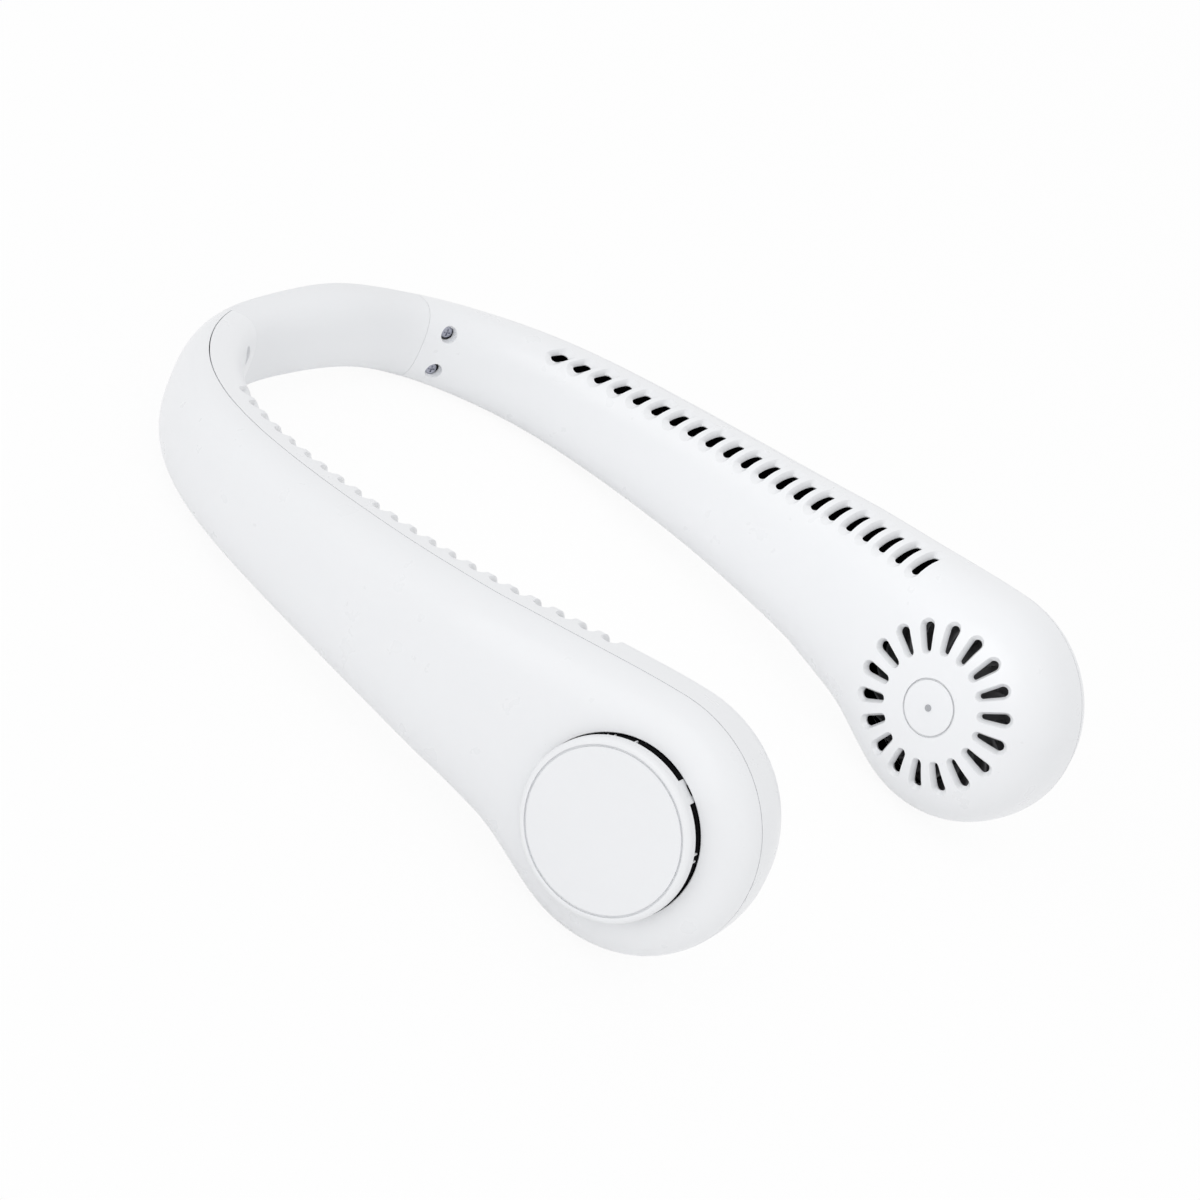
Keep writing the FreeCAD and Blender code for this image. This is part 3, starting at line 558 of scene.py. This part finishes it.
SCREW_RIM, SCREW_DEPTH = (0.3, 0.0, 1.0), 3.2
TONGUE_LENGTH, TONGUE_THICKNESS, TONGUE_HEIGHT, FIT_GAP = 13.0, 3.0, 16.5, 0.2
MOUTH_REACH, MOUTH_ROLL = 1, 0.5
UP = np.array([0.0, 0.0, 1.0])


def unit(vector):
    """The same direction with length 1."""
    return np.asarray(vector) / np.linalg.norm(vector)


(head_x, head_y), (heading_x, heading_y) = path_at(HEAD_STATION)
HEAD_CENTRE = np.array([head_x, head_y, HEAD_Z])
HEAD_AHEAD = unit([heading_x, heading_y, 0])
HEAD_OUT = np.array([-HEAD_AHEAD[1], HEAD_AHEAD[0], 0])


def drop_outline(grow):
    """Edge of one grille drop along the first axis, with its small end inwards."""
    small, large = DROP_SMALL + grow, DROP_LARGE + grow
    near, distant = DROP_INNER + DROP_SMALL, DROP_OUTER - DROP_LARGE
    lean = math.asin((large - small) / (distant - near))
    outer = np.linspace(-math.pi / 2 - lean, math.pi / 2 + lean, DROP_OUTER_STEPS)
    inner = np.linspace(math.pi / 2 + lean, 3 * math.pi / 2 - lean, DROP_INNER_STEPS)
    outer_end = np.stack([distant + large * np.cos(outer), large * np.sin(outer)], -1)
    inner_end = np.stack([near + small * np.cos(inner), small * np.sin(inner)], -1)
    share = np.linspace(0, 1, DROP_SIDE_STEPS)[1:-1, None]
    one_side = outer_end[-1] * (1 - share) + inner_end[0] * share
    other_side = inner_end[-1] * (1 - share) + outer_end[0] * share
    return np.concatenate([outer_end, one_side, inner_end, other_side])


def arm_axes(station):
    """Place on the mid path, the way ahead and the way out, at a station."""
    (x, y), (hx, hy) = path_at(station)
    ahead = unit([hx, hy, 0])
    return np.array([x, y, 0]), ahead, np.array([-ahead[1], ahead[0], 0])


def strip_points(stations, thickness, height, offset, roll):
    """Rings of an upright strip with rolled edges along the middle of the band."""
    turn = np.radians([0, 30, 60, 90])
    corner = np.stack([np.cos(turn), np.sin(turn)], -1) * roll - roll
    ring = []
    for sx, sz in ((1, 1), (-1, 1), (-1, -1), (1, -1)):
        part = corner if sx * sz > 0 else corner[::-1]
        ring += [(sx * (thickness / 2 + u), sz * (height / 2 + v)) for u, v in part]
    out, rise = np.array(ring).T
    rows = []
    for station in stations:
        line, _, outward = arm_axes(station)
        top, bottom = section_sizes(np.array(station))[:2]
        middle = line + UP * (top + bottom) / 2
        rows.append(middle + outward * (offset + out)[:, None] + UP * rise[:, None])
    return np.array(rows)


inner_cutters = Cutters(inner_skin)
slot_line = np.linspace(SEAM, HEAD_STATION, LINE_POINTS)
slot_way = np.array([math.cos(SLOT_LEAN), -math.sin(SLOT_LEAN), 0])
for k, (angle, length) in enumerate(zip(SLOT_ANGLES, SLOT_HOLES)):
    station = np.interp(SLOT_PITCH * k - SLOT_FIRST_Y, -skin(slot_line, angle)[:, 1], slot_line)
    around = skin(station, angle + ANGLE_STEP) - skin(station, angle - ANGLE_STEP)
    onward = skin(station + STATION_STEP, angle) - skin(station - STATION_STEP, angle)
    normal = unit(np.cross(around, onward))
    normal = normal if normal[2] > 0 else -normal
    side_way = unit(np.cross(normal, slot_way))
    inner_cutters.add(capsule_outline(length, SLOT_WIDTH, SLOT_END_TAPER), skin(station, angle),
                      np.cross(side_way, normal), side_way, normal, SLOT_RIM, HOLE_DEPTH)
face_centre = HEAD_CENTRE - HEAD_OUT * FACE_INWARD
for k in range(DROP_COUNT):
    turn = DROP_FIRST + 2 * math.pi * k / DROP_COUNT
    across = UP * math.cos(turn) + HEAD_AHEAD * math.sin(turn)
    inner_cutters.add(drop_outline, face_centre, across, np.cross(across, HEAD_OUT), -HEAD_OUT,
                      DROP_RIM, HOLE_DEPTH)
inner_cutters.add(round_outline(BADGE_RADIUS + TRIM_GAP, count=96), face_centre, UP, HEAD_AHEAD,
                  -HEAD_OUT, POCKET_RIM, POCKET_DEPTH)
screw_line, screw_ahead, screw_out = arm_axes(SCREW_STATION)
screw_top, screw_bottom, screw_half, _ = section_sizes(np.array(SCREW_STATION))
screw_middle = screw_line + UP * (screw_top + screw_bottom) / 2
screw_places = [screw_middle + UP * SCREW_SPACING * d / 2 for d in (1, -1)]
for place in screw_places:
    inner_cutters.add(round_outline(SCREW_WELL), place, UP, screw_ahead, -screw_out,
                      SCREW_RIM, SCREW_DEPTH)
mouth_stations = (SEAM - MOUTH_REACH, SEAM + WALL + MOUTH_REACH)
mouth = strip_points(mouth_stations, TONGUE_THICKNESS + 2 * FIT_GAP, TONGUE_HEIGHT + 2 * FIT_GAP,
                     0, MOUTH_ROLL)
inner_cutters.tubes.append(ring_tube(mouth))
right_inner = carve(inner_solid, inner_cutters.tubes)

# %% [markdown]
# ## Charging socket
# The mouth of the charging socket is in the underside of the left arm, below the circuit board.
# It is a slot with round ends, a little larger than the metal socket behind it. The right cover
# was cut just before, so only the left one has this hole.

# %% Cut the socket's mouth
BOARD_STATION, BOARD_OFFSET = 100.0, -1.5
SOCKET_WIDTH, SOCKET_THICKNESS = 8.9, 3.2
SOCKET_RIM, SOCKET_DEPTH = (0.2, 0.0, 0.3), 3.4
board_line, board_ahead, board_out = arm_axes(BOARD_STATION)
board_bottom = section_sizes(np.array(BOARD_STATION))[1]
socket_mouth = board_line + board_out * BOARD_OFFSET + UP * board_bottom
socket_edge = capsule_outline(SOCKET_WIDTH + 2 * FIT_GAP, SOCKET_THICKNESS + 2 * FIT_GAP)
inner_cutters.add(socket_edge, socket_mouth, board_ahead, board_out, -UP, SOCKET_RIM, SOCKET_DEPTH)
left_inner = carve(inner_solid, inner_cutters.tubes)
print("inner covers:", len(left_inner.polygons), "and", len(right_inner.polygons), "faces")

# %% [markdown]
# ## Keep the skin smooth
# Cutting leaves long thin faces round every hole, and their averaged normals would show as
# smudges on glossy white plastic. The uncut skin still knows the true direction of the surface,
# so each point that lies on it takes its normal from there. Points inside the holes keep their
# own.

# %% Normals from the uncut skin
ON_SKIN = 2e-3


def skin_normals(mesh, skin_mesh):
    """Normals from the uncut skin for the points on it, and none for the rest."""
    corners = [v.co.copy() for v in skin_mesh.vertices]
    faces = [tuple(p.vertices) for p in skin_mesh.polygons]
    tree = BVHTree.FromPolygons(corners, faces)
    truth = np.array([v.normal for v in skin_mesh.vertices])
    normals = np.zeros((len(mesh.vertices), 3))
    for i, vertex in enumerate(mesh.vertices):
        hit, _, face, distance = tree.find_nearest(vertex.co)
        if distance > ON_SKIN:
            continue
        shares = poly_3d_calc([corners[c] for c in faces[face]], hit)
        normal = unit(sum(truth[c] * share for c, share in zip(faces[face], shares)))
        normals[i] = normal if normal @ np.array(vertex.normal) > 0 else -normal
    return normals


# Each cover's inner face takes the near-black painted shade finish.
for side, hand, carved in ((1, "left", left_inner), (-1, "right", right_inner)):
    make_piece(hand + "_cover", carved, side, [white, painted_shade_black], hand + "_arm",
               [hand + "_inner_cover"], normals=skin_normals(carved, inner_skin))

# %% [markdown]
# ## Outer shell and intake
# The outer shell is plain but for the round well in its head. On the left arm it also has the
# holes for the power button and for the small indicator window.

# %% Cut the outer shells
WELL_RADIUS, WELL_START, WELL_CUT = 20.45, 10, 6.0
FINE_RIM = (0.13, 0.0, 0.19)
outer_cutters = Cutters(outer_skin)
outer_cutters.add(round_outline(WELL_RADIUS, count=192), HEAD_CENTRE + HEAD_OUT * WELL_START, UP,
                  HEAD_AHEAD, HEAD_OUT, FINE_RIM, WELL_CUT)
right_outer = carve(outer_solid, outer_cutters.tubes)
BUTTON_STATION, BUTTON_RADIUS, BUTTON_GAP = 93.0, 3.2, 0.15
WINDOW_STATION, WINDOW_RADIUS, WINDOW_GAP = 106.0, 1.1, 0.1
CONTROL_RISE, CONTROL_START, CONTROL_CUT = -6.25, 9.0, 3.4
controls = ((BUTTON_STATION, BUTTON_RADIUS + BUTTON_GAP),
            (WINDOW_STATION, WINDOW_RADIUS + WINDOW_GAP))
for station, radius in controls:
    spot = (board_line + board_ahead * (station - BOARD_STATION)
            + board_out * CONTROL_START + UP * CONTROL_RISE)
    outer_cutters.add(round_outline(radius, count=48), spot, UP, board_ahead, board_out,
                      FINE_RIM, CONTROL_CUT)
left_outer = carve(outer_solid, outer_cutters.tubes)
# Each shell's inner face takes the near-black painted shade finish.
for side, hand, carved in ((1, "left", left_outer), (-1, "right", right_outer)):
    make_piece(hand + "_shell", carved, side, [white, painted_shade_black], hand + "_arm",
               [hand + "_outer_shell"], normals=skin_normals(carved, outer_skin))
print("outer shells:", len(left_outer.polygons), "and", len(right_outer.polygons), "faces")

# %% [markdown]
# ## Turned pieces
# The cap, its disc, the hub's badge and the screws are all round, so each is turned on a lathe: a
# profile of radius and height, with its corners rolled, goes once round an axis. On the real fan
# these are small injection mouldings, and their rolled corners catch the light as fine bright
# lines.

# %% Lathe
def rolled_profile(corners, steps=6):
    """Profile with rounded corners. Each corner is a radius, a height and its rounding."""
    points = []
    for i, (x, y, rounding) in enumerate(corners):
        here = np.array([x, y], float)
        if rounding == 0:
            points.append(here)
            continue
        before = unit(np.array(corners[i - 1][:2]) - here)
        after = unit(np.array(corners[(i + 1) % len(corners)][:2]) - here)
        half = math.acos(before @ after) / 2
        middle = here + unit(before + after) * rounding / math.sin(half)
        start, end = [here + way * rounding / math.tan(half) - middle for way in (before, after)]
        for share in np.linspace(0, 1, steps + 1):
            points.append(middle + unit(start * (1 - share) + end * share) * rounding)
    return np.array(points)


def lathe(name, corners, centre, across, ahead, axis, count=160, closed=False):
    """A profile turned round an axis. Closed profiles make rings; the others start and end on
    the axis."""
    profile = rolled_profile(corners)
    if closed:
        profile = np.concatenate([profile, profile[:1]])
    turn = np.linspace(0, 2 * math.pi, count + 1)[:, None]
    round_way = np.cos(turn) * across + np.sin(turn) * ahead
    points = (centre + profile[:, None, :1] * round_way[None]
              + profile[:, None, 1:] * np.asarray(axis))
    return mesh_of(name, points, grid_faces(len(profile), count + 1))


# %% [markdown]
# ## Intake cap
# The cap is a thick round plate that stands clear of the head, so that air is drawn in through the
# slit all round. Three wide legs and a few thin ribs tie it to a ring that seats in the well. The
# ring is coloured near black as painted shade, and with the painted shade inside the head it makes
# the slit look black. A flat disc fills the middle of the plate and leaves a fine line round it.

# %% Cap, ribs and disc
CAP_RADIUS, CAP_TOP, CAP_BOTTOM, CAP_ROUND = 20.4, 16.4, 13.1, 1.2
DISC_RADIUS, DISC_BOTTOM, RING_LINE = 18.4, 15.8, 0.5
SEAT_OUTER, SEAT_INNER, SEAT_TOP, SEAT_BOTTOM = 20.0, 18.6, 10.95, 9.15
LEG_INNER, LEG_WIDTH, LEG_TURNS = 16.2, 5.5, (35, 155, 275)
LEG_SETBACK, LEG_ROLL, LEG_OVERLAP = 0.05, 0.15, 0.1
LINE_ROLL, PLATE_ROLL, DISC_LIFT = 0.1, 0.4, 0.02
SEAT_LOW_ROLL, SEAT_HIGH_ROLL = 0.2, 0.3
RIB_INNER, RIB_WIDTH, RIB_TURNS = 18.8, 0.45, (-30, -25, -10, 75, 80)
head_axes = (HEAD_CENTRE, UP, HEAD_AHEAD, HEAD_OUT)
line_outer, disc_under = DISC_RADIUS + RING_LINE, DISC_BOTTOM + DISC_LIFT
plate_corners = [(0, DISC_BOTTOM, 0), (line_outer, DISC_BOTTOM, 0),
                 (line_outer, CAP_TOP, LINE_ROLL), (CAP_RADIUS, CAP_TOP, CAP_ROUND),
                 (CAP_RADIUS, CAP_BOTTOM, PLATE_ROLL), (0, CAP_BOTTOM, 0)]
seat_corners = [(SEAT_INNER, SEAT_BOTTOM, SEAT_LOW_ROLL), (SEAT_OUTER, SEAT_BOTTOM, SEAT_LOW_ROLL),
                (SEAT_OUTER, SEAT_TOP, SEAT_HIGH_ROLL), (SEAT_INNER, SEAT_TOP, SEAT_HIGH_ROLL)]
disc_corners = [(0, CAP_TOP, 0), (DISC_RADIUS, CAP_TOP, LINE_ROLL), (DISC_RADIUS, disc_under, 0),
                (0, disc_under, 0)]


def upright(inner, width, turn):
    """A leg or rib between seat and plate, with rolled edges, at an angle round the head."""
    outward = UP * math.cos(turn) + HEAD_AHEAD * math.sin(turn)
    sideways = np.cross(HEAD_OUT, outward)
    reach, half = SEAT_OUTER - LEG_SETBACK, width / 2
    outline = rolled_profile([(inner, -half, LEG_ROLL), (reach, -half, LEG_ROLL),
                              (reach, half, LEG_ROLL), (inner, half, LEG_ROLL)])
    flat = HEAD_CENTRE + outline[:, :1] * outward + outline[:, 1:] * sideways
    return ring_tube([flat + HEAD_OUT * (height + LEG_OVERLAP)
                      for height in (SEAT_BOTTOM, CAP_BOTTOM)])


plate = lathe("plate", plate_corners, *head_axes)
legs = [upright(LEG_INNER, LEG_WIDTH, math.radians(turn)) for turn in LEG_TURNS]
ribs = [upright(RIB_INNER, RIB_WIDTH, math.radians(turn)) for turn in RIB_TURNS]
cap = joined_mesh("cap", [plate] + legs + ribs, in_triangles=False)
seat = lathe("seat", seat_corners, *head_axes, closed=True)
disc = lathe("disc", disc_corners, *head_axes)
for side, hand in ((1, "left"), (-1, "right")):
    make_piece(hand + "_cap", cap, side, [trim], hand + "_arm",
               [hand + "_intake_cap"], crease=50)
    # The seat ring is near black: painted shade in the slit under the cap.
    make_piece(hand + "_cap_seat", seat, side, [painted_shade_black], hand + "_arm")
    make_piece(hand + "_disc", disc, side, [trim], hand + "_arm",
               [hand + "_cap_disc"], crease=50)
print("cap:", len(cap.polygons), "faces")

# %% [markdown]
# ## Hub badges
# The hub of each grille has a thin round badge. Raised grey dots tell the two sides apart by eye
# and by touch: one on the left and two on the right.

# %% Badges
HUB_FACE, BADGE_THICKNESS, BADGE_FALL, BADGE_ROLL = 20.8, 0.6, 0.1, 0.12
DOT_RADIUS, DOT_HEIGHT, DOT_SPACING, DOT_ROLL, DOT_SUNK = 0.9, 0.35, 3.6, 0.28, 0.2
badge_back = HUB_FACE - BADGE_THICKNESS
dot_top, dot_back = HUB_FACE + DOT_HEIGHT, HUB_FACE - DOT_SUNK
badge_corners = [(0, HUB_FACE, 0), (BADGE_RADIUS, HUB_FACE - BADGE_FALL, BADGE_ROLL),
                 (BADGE_RADIUS, badge_back, 0), (0, badge_back, 0)]
dot_corners = [(0, dot_top, 0), (DOT_RADIUS, dot_top, DOT_ROLL), (DOT_RADIUS, dot_back, 0),
               (0, dot_back, 0)]
for side, hand, dots in ((1, "left", 1), (-1, "right", 2)):
    parts = [lathe("badge", badge_corners, HEAD_CENTRE, UP, HEAD_AHEAD, -HEAD_OUT)]
    for k in range(dots):
        middle = HEAD_CENTRE + HEAD_AHEAD * (k - (dots - 1) / 2) * DOT_SPACING
        dot = lathe("dot", dot_corners, middle, UP, HEAD_AHEAD, -HEAD_OUT, count=32)
        dot.polygons.foreach_set("material_index", [1] * len(dot.polygons))
        parts.append(dot)
    badge = joined_mesh("badge", parts, in_triangles=False)
    make_piece(hand + "_badge", badge, side, [trim, mark_grey], hand + "_arm",
               [hand + "_hub_badge"], crease=50)

# %% [markdown]
# ## Clamp screws
# Two pan-head screws at the rear of each cover go through the band's tongue into the outer shell.
# Their heads sit at the bottom of deep wells and have a cross recess, cut with the same tool as
# the holes.

# %% Screws
SCREW_HEAD_RADIUS, SCREW_HEAD_HEIGHT, SCREW_HEAD_ROLL, SCREW_SUNK = 1.75, 1.3, 0.55, 1.8
SHANK_RADIUS, SHANK_CLEAR, SHANK_STOP, SHANK_ROLL = 1.0, 0.03, 0.65, 0.3
CROSS_LENGTH, CROSS_WIDTH, CROSS_DEPTH, CROSS_ABOVE = 2.0, 0.45, 0.35, 0.5
head_top = -screw_half + SCREW_SUNK
head_under = head_top + SCREW_HEAD_HEIGHT
shank, shank_end = SHANK_RADIUS - SHANK_CLEAR, screw_half - WALL - SHANK_STOP
screw_corners = [(0, head_top, 0), (SCREW_HEAD_RADIUS, head_top, SCREW_HEAD_ROLL),
                 (SCREW_HEAD_RADIUS, head_under, 0), (shank, head_under, 0),
                 (shank, shank_end, SHANK_ROLL), (0, shank_end, 0)]
long, thin = CROSS_LENGTH / 2, CROSS_WIDTH / 2
plus = [(long, thin), (thin, thin), (thin, long), (-thin, long), (-thin, thin), (-long, thin),
        (-long, -thin), (-thin, -thin), (-thin, -long), (thin, -long), (thin, -thin), (long, -thin)]
screw_meshes = []
for place in screw_places:
    turned = lathe("screw", screw_corners, place, UP, screw_ahead, screw_out, count=48)
    flat = np.array([place + UP * u + screw_ahead * v for u, v in plus])
    cross = ring_tube([flat + screw_out * (head_top + d) for d in (-CROSS_ABOVE, CROSS_DEPTH)])
    screw_meshes.append(carve(turned, [cross]))
screws = joined_mesh("screws", screw_meshes, in_triangles=False)
for side, hand in ((1, "left"), (-1, "right")):
    make_piece(hand + "_screws", screws, side, [screw_steel], hand + "_arm",
               [hand + "_cover_screws"])

# %% [markdown]
# ## The soft band
# The band is moulded in silicone over a springy strip and a flat cable, and ends in two tongues
# that the shells clamp. On the real fan it bends when an arm is spread; here it is made in two
# halves that meet in the middle, one on each side. The ends are rolled over a little, which leaves
# a fine line where they meet the shells.

# %% Band, strip and cable
SEAM_GAP, BAND_ROLL, BAND_ROWS, BAND_COLUMNS = 0.06, 0.12, 44, 96
TONGUE_OVERLAP, TONGUE_ROLL, TONGUE_ROWS, INSIDE_ROWS = 2, 0.6, 16, 40
STRIP_THICKNESS, STRIP_HEIGHT, STRIP_OFFSET, STRIP_ROLL = 0.8, 6.0, 0, 0.15
CABLE_THICKNESS, CABLE_HEIGHT, CABLE_OFFSET, CABLE_ROLL = 0.8, 3.0, 0.9, 0.3
band_end = SEAM - SEAM_GAP
band_along = list(np.linspace(0, band_end - BAND_ROLL, BAND_ROWS))
band_inset = [0.0] * BAND_ROWS
for a in np.radians([25, 50, 75, 90]):
    band_along.append(band_end - BAND_ROLL * (1 - math.sin(a)))
    band_inset.append(BAND_ROLL * (1 - math.cos(a)))
around = np.linspace(0, 2 * math.pi, BAND_COLUMNS, endpoint=False)
band_rows = np.array([skin(s, around, d) for s, d in zip(band_along, band_inset)])
tongue_end = SEAM + TONGUE_LENGTH
tongue_rows = strip_points(np.linspace(band_end - TONGUE_OVERLAP, tongue_end, TONGUE_ROWS),
                           TONGUE_THICKNESS, TONGUE_HEIGHT, 0, TONGUE_ROLL)
inside = np.linspace(0, tongue_end, INSIDE_ROWS)
strip_rows = strip_points(inside, STRIP_THICKNESS, STRIP_HEIGHT, STRIP_OFFSET, STRIP_ROLL)
cable_rows = strip_points(inside, CABLE_THICKNESS, CABLE_HEIGHT, CABLE_OFFSET, CABLE_ROLL)
soft = {
    "band": ([ring_tube(band_rows), ring_tube(tongue_rows)], silicone, "soft_white", "neck_band"),
    "strip": ([ring_tube(strip_rows)], spring_steel, "spring_steel", "band_core"),
    "cable": ([ring_tube(cable_rows)], cable_black, "cable_black", "band_cable"),
}
for part, (meshes, material, slot, node) in soft.items():
    whole = joined_mesh(part, meshes, in_triangles=False)
    for side, hand in ((1, "left"), (-1, "right")):
        half = make_piece(hand + "_" + part, whole, side, [material], stands_for=[node],
                          crease=50)
        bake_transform(half)
print("band:", len(band_rows) * len(around), "points a half")

# %% [markdown]
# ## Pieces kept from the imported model
# The fan's inside is kept as it was packed: motor, shaft and impeller in each head, the duct floor
# and battery in each arm, and the board with its switch, socket, button and window on the left.
# These pieces have the right shape already and only need their finishes.

# %% Finishes of the kept pieces
kept = {"impeller": impeller_grey, "duct_floor": black, "motor": motor_steel,
        "shaft": motor_steel, "battery": foil}
dressed = {hand + "_" + part: material
           for hand in ("left", "right") for part, material in kept.items()}
dressed.update({"circuit_board": board_green, "usb_socket": motor_steel, "power_switch": black,
                "power_button": trim, "indicator_window": window})
for name, material in dressed.items():
    nodes[name].data.materials.clear()
    nodes[name].data.materials.append(material)
print("kept nodes:", len(dressed))

# %% [markdown]
# ## Camera
# The camera looks down on the fan from its right front, turned so that the arms run down the
# picture to the right. It has a long lens, and stands about four times the fan's width away.

# %% Camera
AZIMUTH, ELEVATION, ROLL = [math.radians(v) for v in (-69.49, 26.0639, 36.309)]
DISTANCE, TARGET = 0.834675, np.array([-0.0026634, -0.008169, 0.0192518])
SENSOR_WIDTH, LENS, NEAREST, FURTHEST = 36, 103.18, 0.01, 50
back = np.array([math.sin(AZIMUTH) * math.cos(ELEVATION), -math.cos(AZIMUTH) * math.cos(ELEVATION),
                 math.sin(ELEVATION)])
level = np.array([math.cos(AZIMUTH), math.sin(AZIMUTH), 0])
rise = np.cross(back, level)
right = level * math.cos(ROLL) + rise * math.sin(ROLL)
upward = rise * math.cos(ROLL) - level * math.sin(ROLL)
camera = bpy.data.objects.new("camera", bpy.data.cameras.new("camera"))
bpy.context.scene.collection.objects.link(camera)
place = TARGET + back * DISTANCE
rows = [[right[k], upward[k], back[k], place[k]] for k in range(3)]
camera.matrix_world = Matrix(rows + [[0, 0, 0, 1]])
camera.data.sensor_width, camera.data.lens = SENSOR_WIDTH, LENS
camera.data.clip_start, camera.data.clip_end = NEAREST, FURTHEST
bpy.context.scene.camera = camera

# %% [markdown]
# ## Floor
# The floor is pale and matt. Where it is seen, straight on or in a reflection or through glass,
# it is mostly a plain white, and the rest of it still takes the light and keeps the fan's faint
# shadow. To the fan it is only a pale floor, so the white picture needs no extra light.

# %% Floor
FLOOR_WHITE, FLOOR_REACH, FLOOR_POINTS = 0.92, 4, 9


def seen_not_lit(tree):
    """1 where a surface is seen directly, in a reflection or through glass, and 0 where it only
    lights the fan."""
    ray = tree.nodes.new("ShaderNodeLightPath")
    seen = ray.outputs["Is Camera Ray"]
    for way in ("Is Glossy Ray", "Is Transmission Ray"):
        either = tree.nodes.new("ShaderNodeMath")
        either.operation = "MAXIMUM"
        tree.links.new(seen, either.inputs[0])
        tree.links.new(ray.outputs[way], either.inputs[1])
        seen = either.outputs["Value"]
    return seen


floor_finish = finish("floor", (0.93, 0.93, 0.93), (0.92, 0.92, 0.92), gloss=(0.8, 0.9),
                      drift=0.2, grain=0.004, lift=1e-5)
floor_tree = floor_finish.node_tree
glow = floor_tree.nodes.new("ShaderNodeEmission")
blend = floor_tree.nodes.new("ShaderNodeMixShader")
share = floor_tree.nodes.new("ShaderNodeMapRange")
share.inputs["To Max"].default_value = FLOOR_WHITE
floor_tree.links.new(seen_not_lit(floor_tree), share.inputs["Value"])
floor_tree.links.new(share.outputs["Result"], blend.inputs["Fac"])
floor_tree.links.new(floor_tree.nodes["Principled BSDF"].outputs["BSDF"], blend.inputs[1])
floor_tree.links.new(glow.outputs["Emission"], blend.inputs[2])
floor_tree.links.new(blend.outputs["Shader"], floor_tree.nodes["Material Output"].inputs["Surface"])
lines = np.linspace(-FLOOR_REACH, FLOOR_REACH, FLOOR_POINTS)
floor_mesh = mesh_of("floor", np.array([(x, y, 0) for y in lines for x in lines]),
                     grid_faces(FLOOR_POINTS, FLOOR_POINTS))
floor = bpy.data.objects.new("floor", floor_mesh)
floor_mesh.materials.append(floor_finish)
bpy.context.scene.collection.objects.link(floor)

# %% [markdown]
# ## Lights
# One large soft light stands on the fan's right, and an even sky fills the shadows. A small card
# between the arms brightens the inner side of the left arm. Behind the floor the sky is seen as a
# white wall, which does not light the fan.

# %% Lights
SKY_COLOUR, SKY_STRENGTH, WALL_COLOUR = (0.985, 0.985, 0.99, 1), 0.9, (1, 1, 1, 1)


def soft_light(name, place, aim, size, power):
    """A round area light at a place, turned towards a point."""
    light = bpy.data.lights.new(name, "AREA")
    light.shape, light.size, light.energy = "DISK", size, power
    lamp = bpy.data.objects.new(name, light)
    lamp.location = place
    lamp.rotation_euler = (Vector(aim) - Vector(place)).to_track_quat("-Z", "Y").to_euler()
    bpy.context.scene.collection.objects.link(lamp)
    return lamp


soft_light("side_light", place=(-1.6, 0.1, 0.85), aim=(0, 0, 0), size=1.6, power=5)
card = soft_light("card_between_arms", place=(-0.03, -0.02, 0.09), aim=(0.08, -0.035, 0.02),
                  size=0.1, power=0.018)
card.visible_camera = False
world = bpy.data.worlds.new("studio")
world.use_nodes = True
sky_tree = world.node_tree
sky = sky_tree.nodes["Background"]
sky.inputs["Color"].default_value = SKY_COLOUR
sky.inputs["Strength"].default_value = SKY_STRENGTH
white_wall = sky_tree.nodes.new("ShaderNodeBackground")
white_wall.inputs["Color"].default_value = WALL_COLOUR
sky_or_wall = sky_tree.nodes.new("ShaderNodeMixShader")
sky_tree.links.new(seen_not_lit(sky_tree), sky_or_wall.inputs["Fac"])
sky_tree.links.new(sky.outputs["Background"], sky_or_wall.inputs[1])
sky_tree.links.new(white_wall.outputs["Background"], sky_or_wall.inputs[2])
sky_tree.links.new(sky_or_wall.outputs["Shader"], sky_tree.nodes["World Output"].inputs["Surface"])
bpy.context.scene.world = world
bpy.context.scene.view_settings.view_transform = "Standard"
print("studio: floor, side light, card and sky")
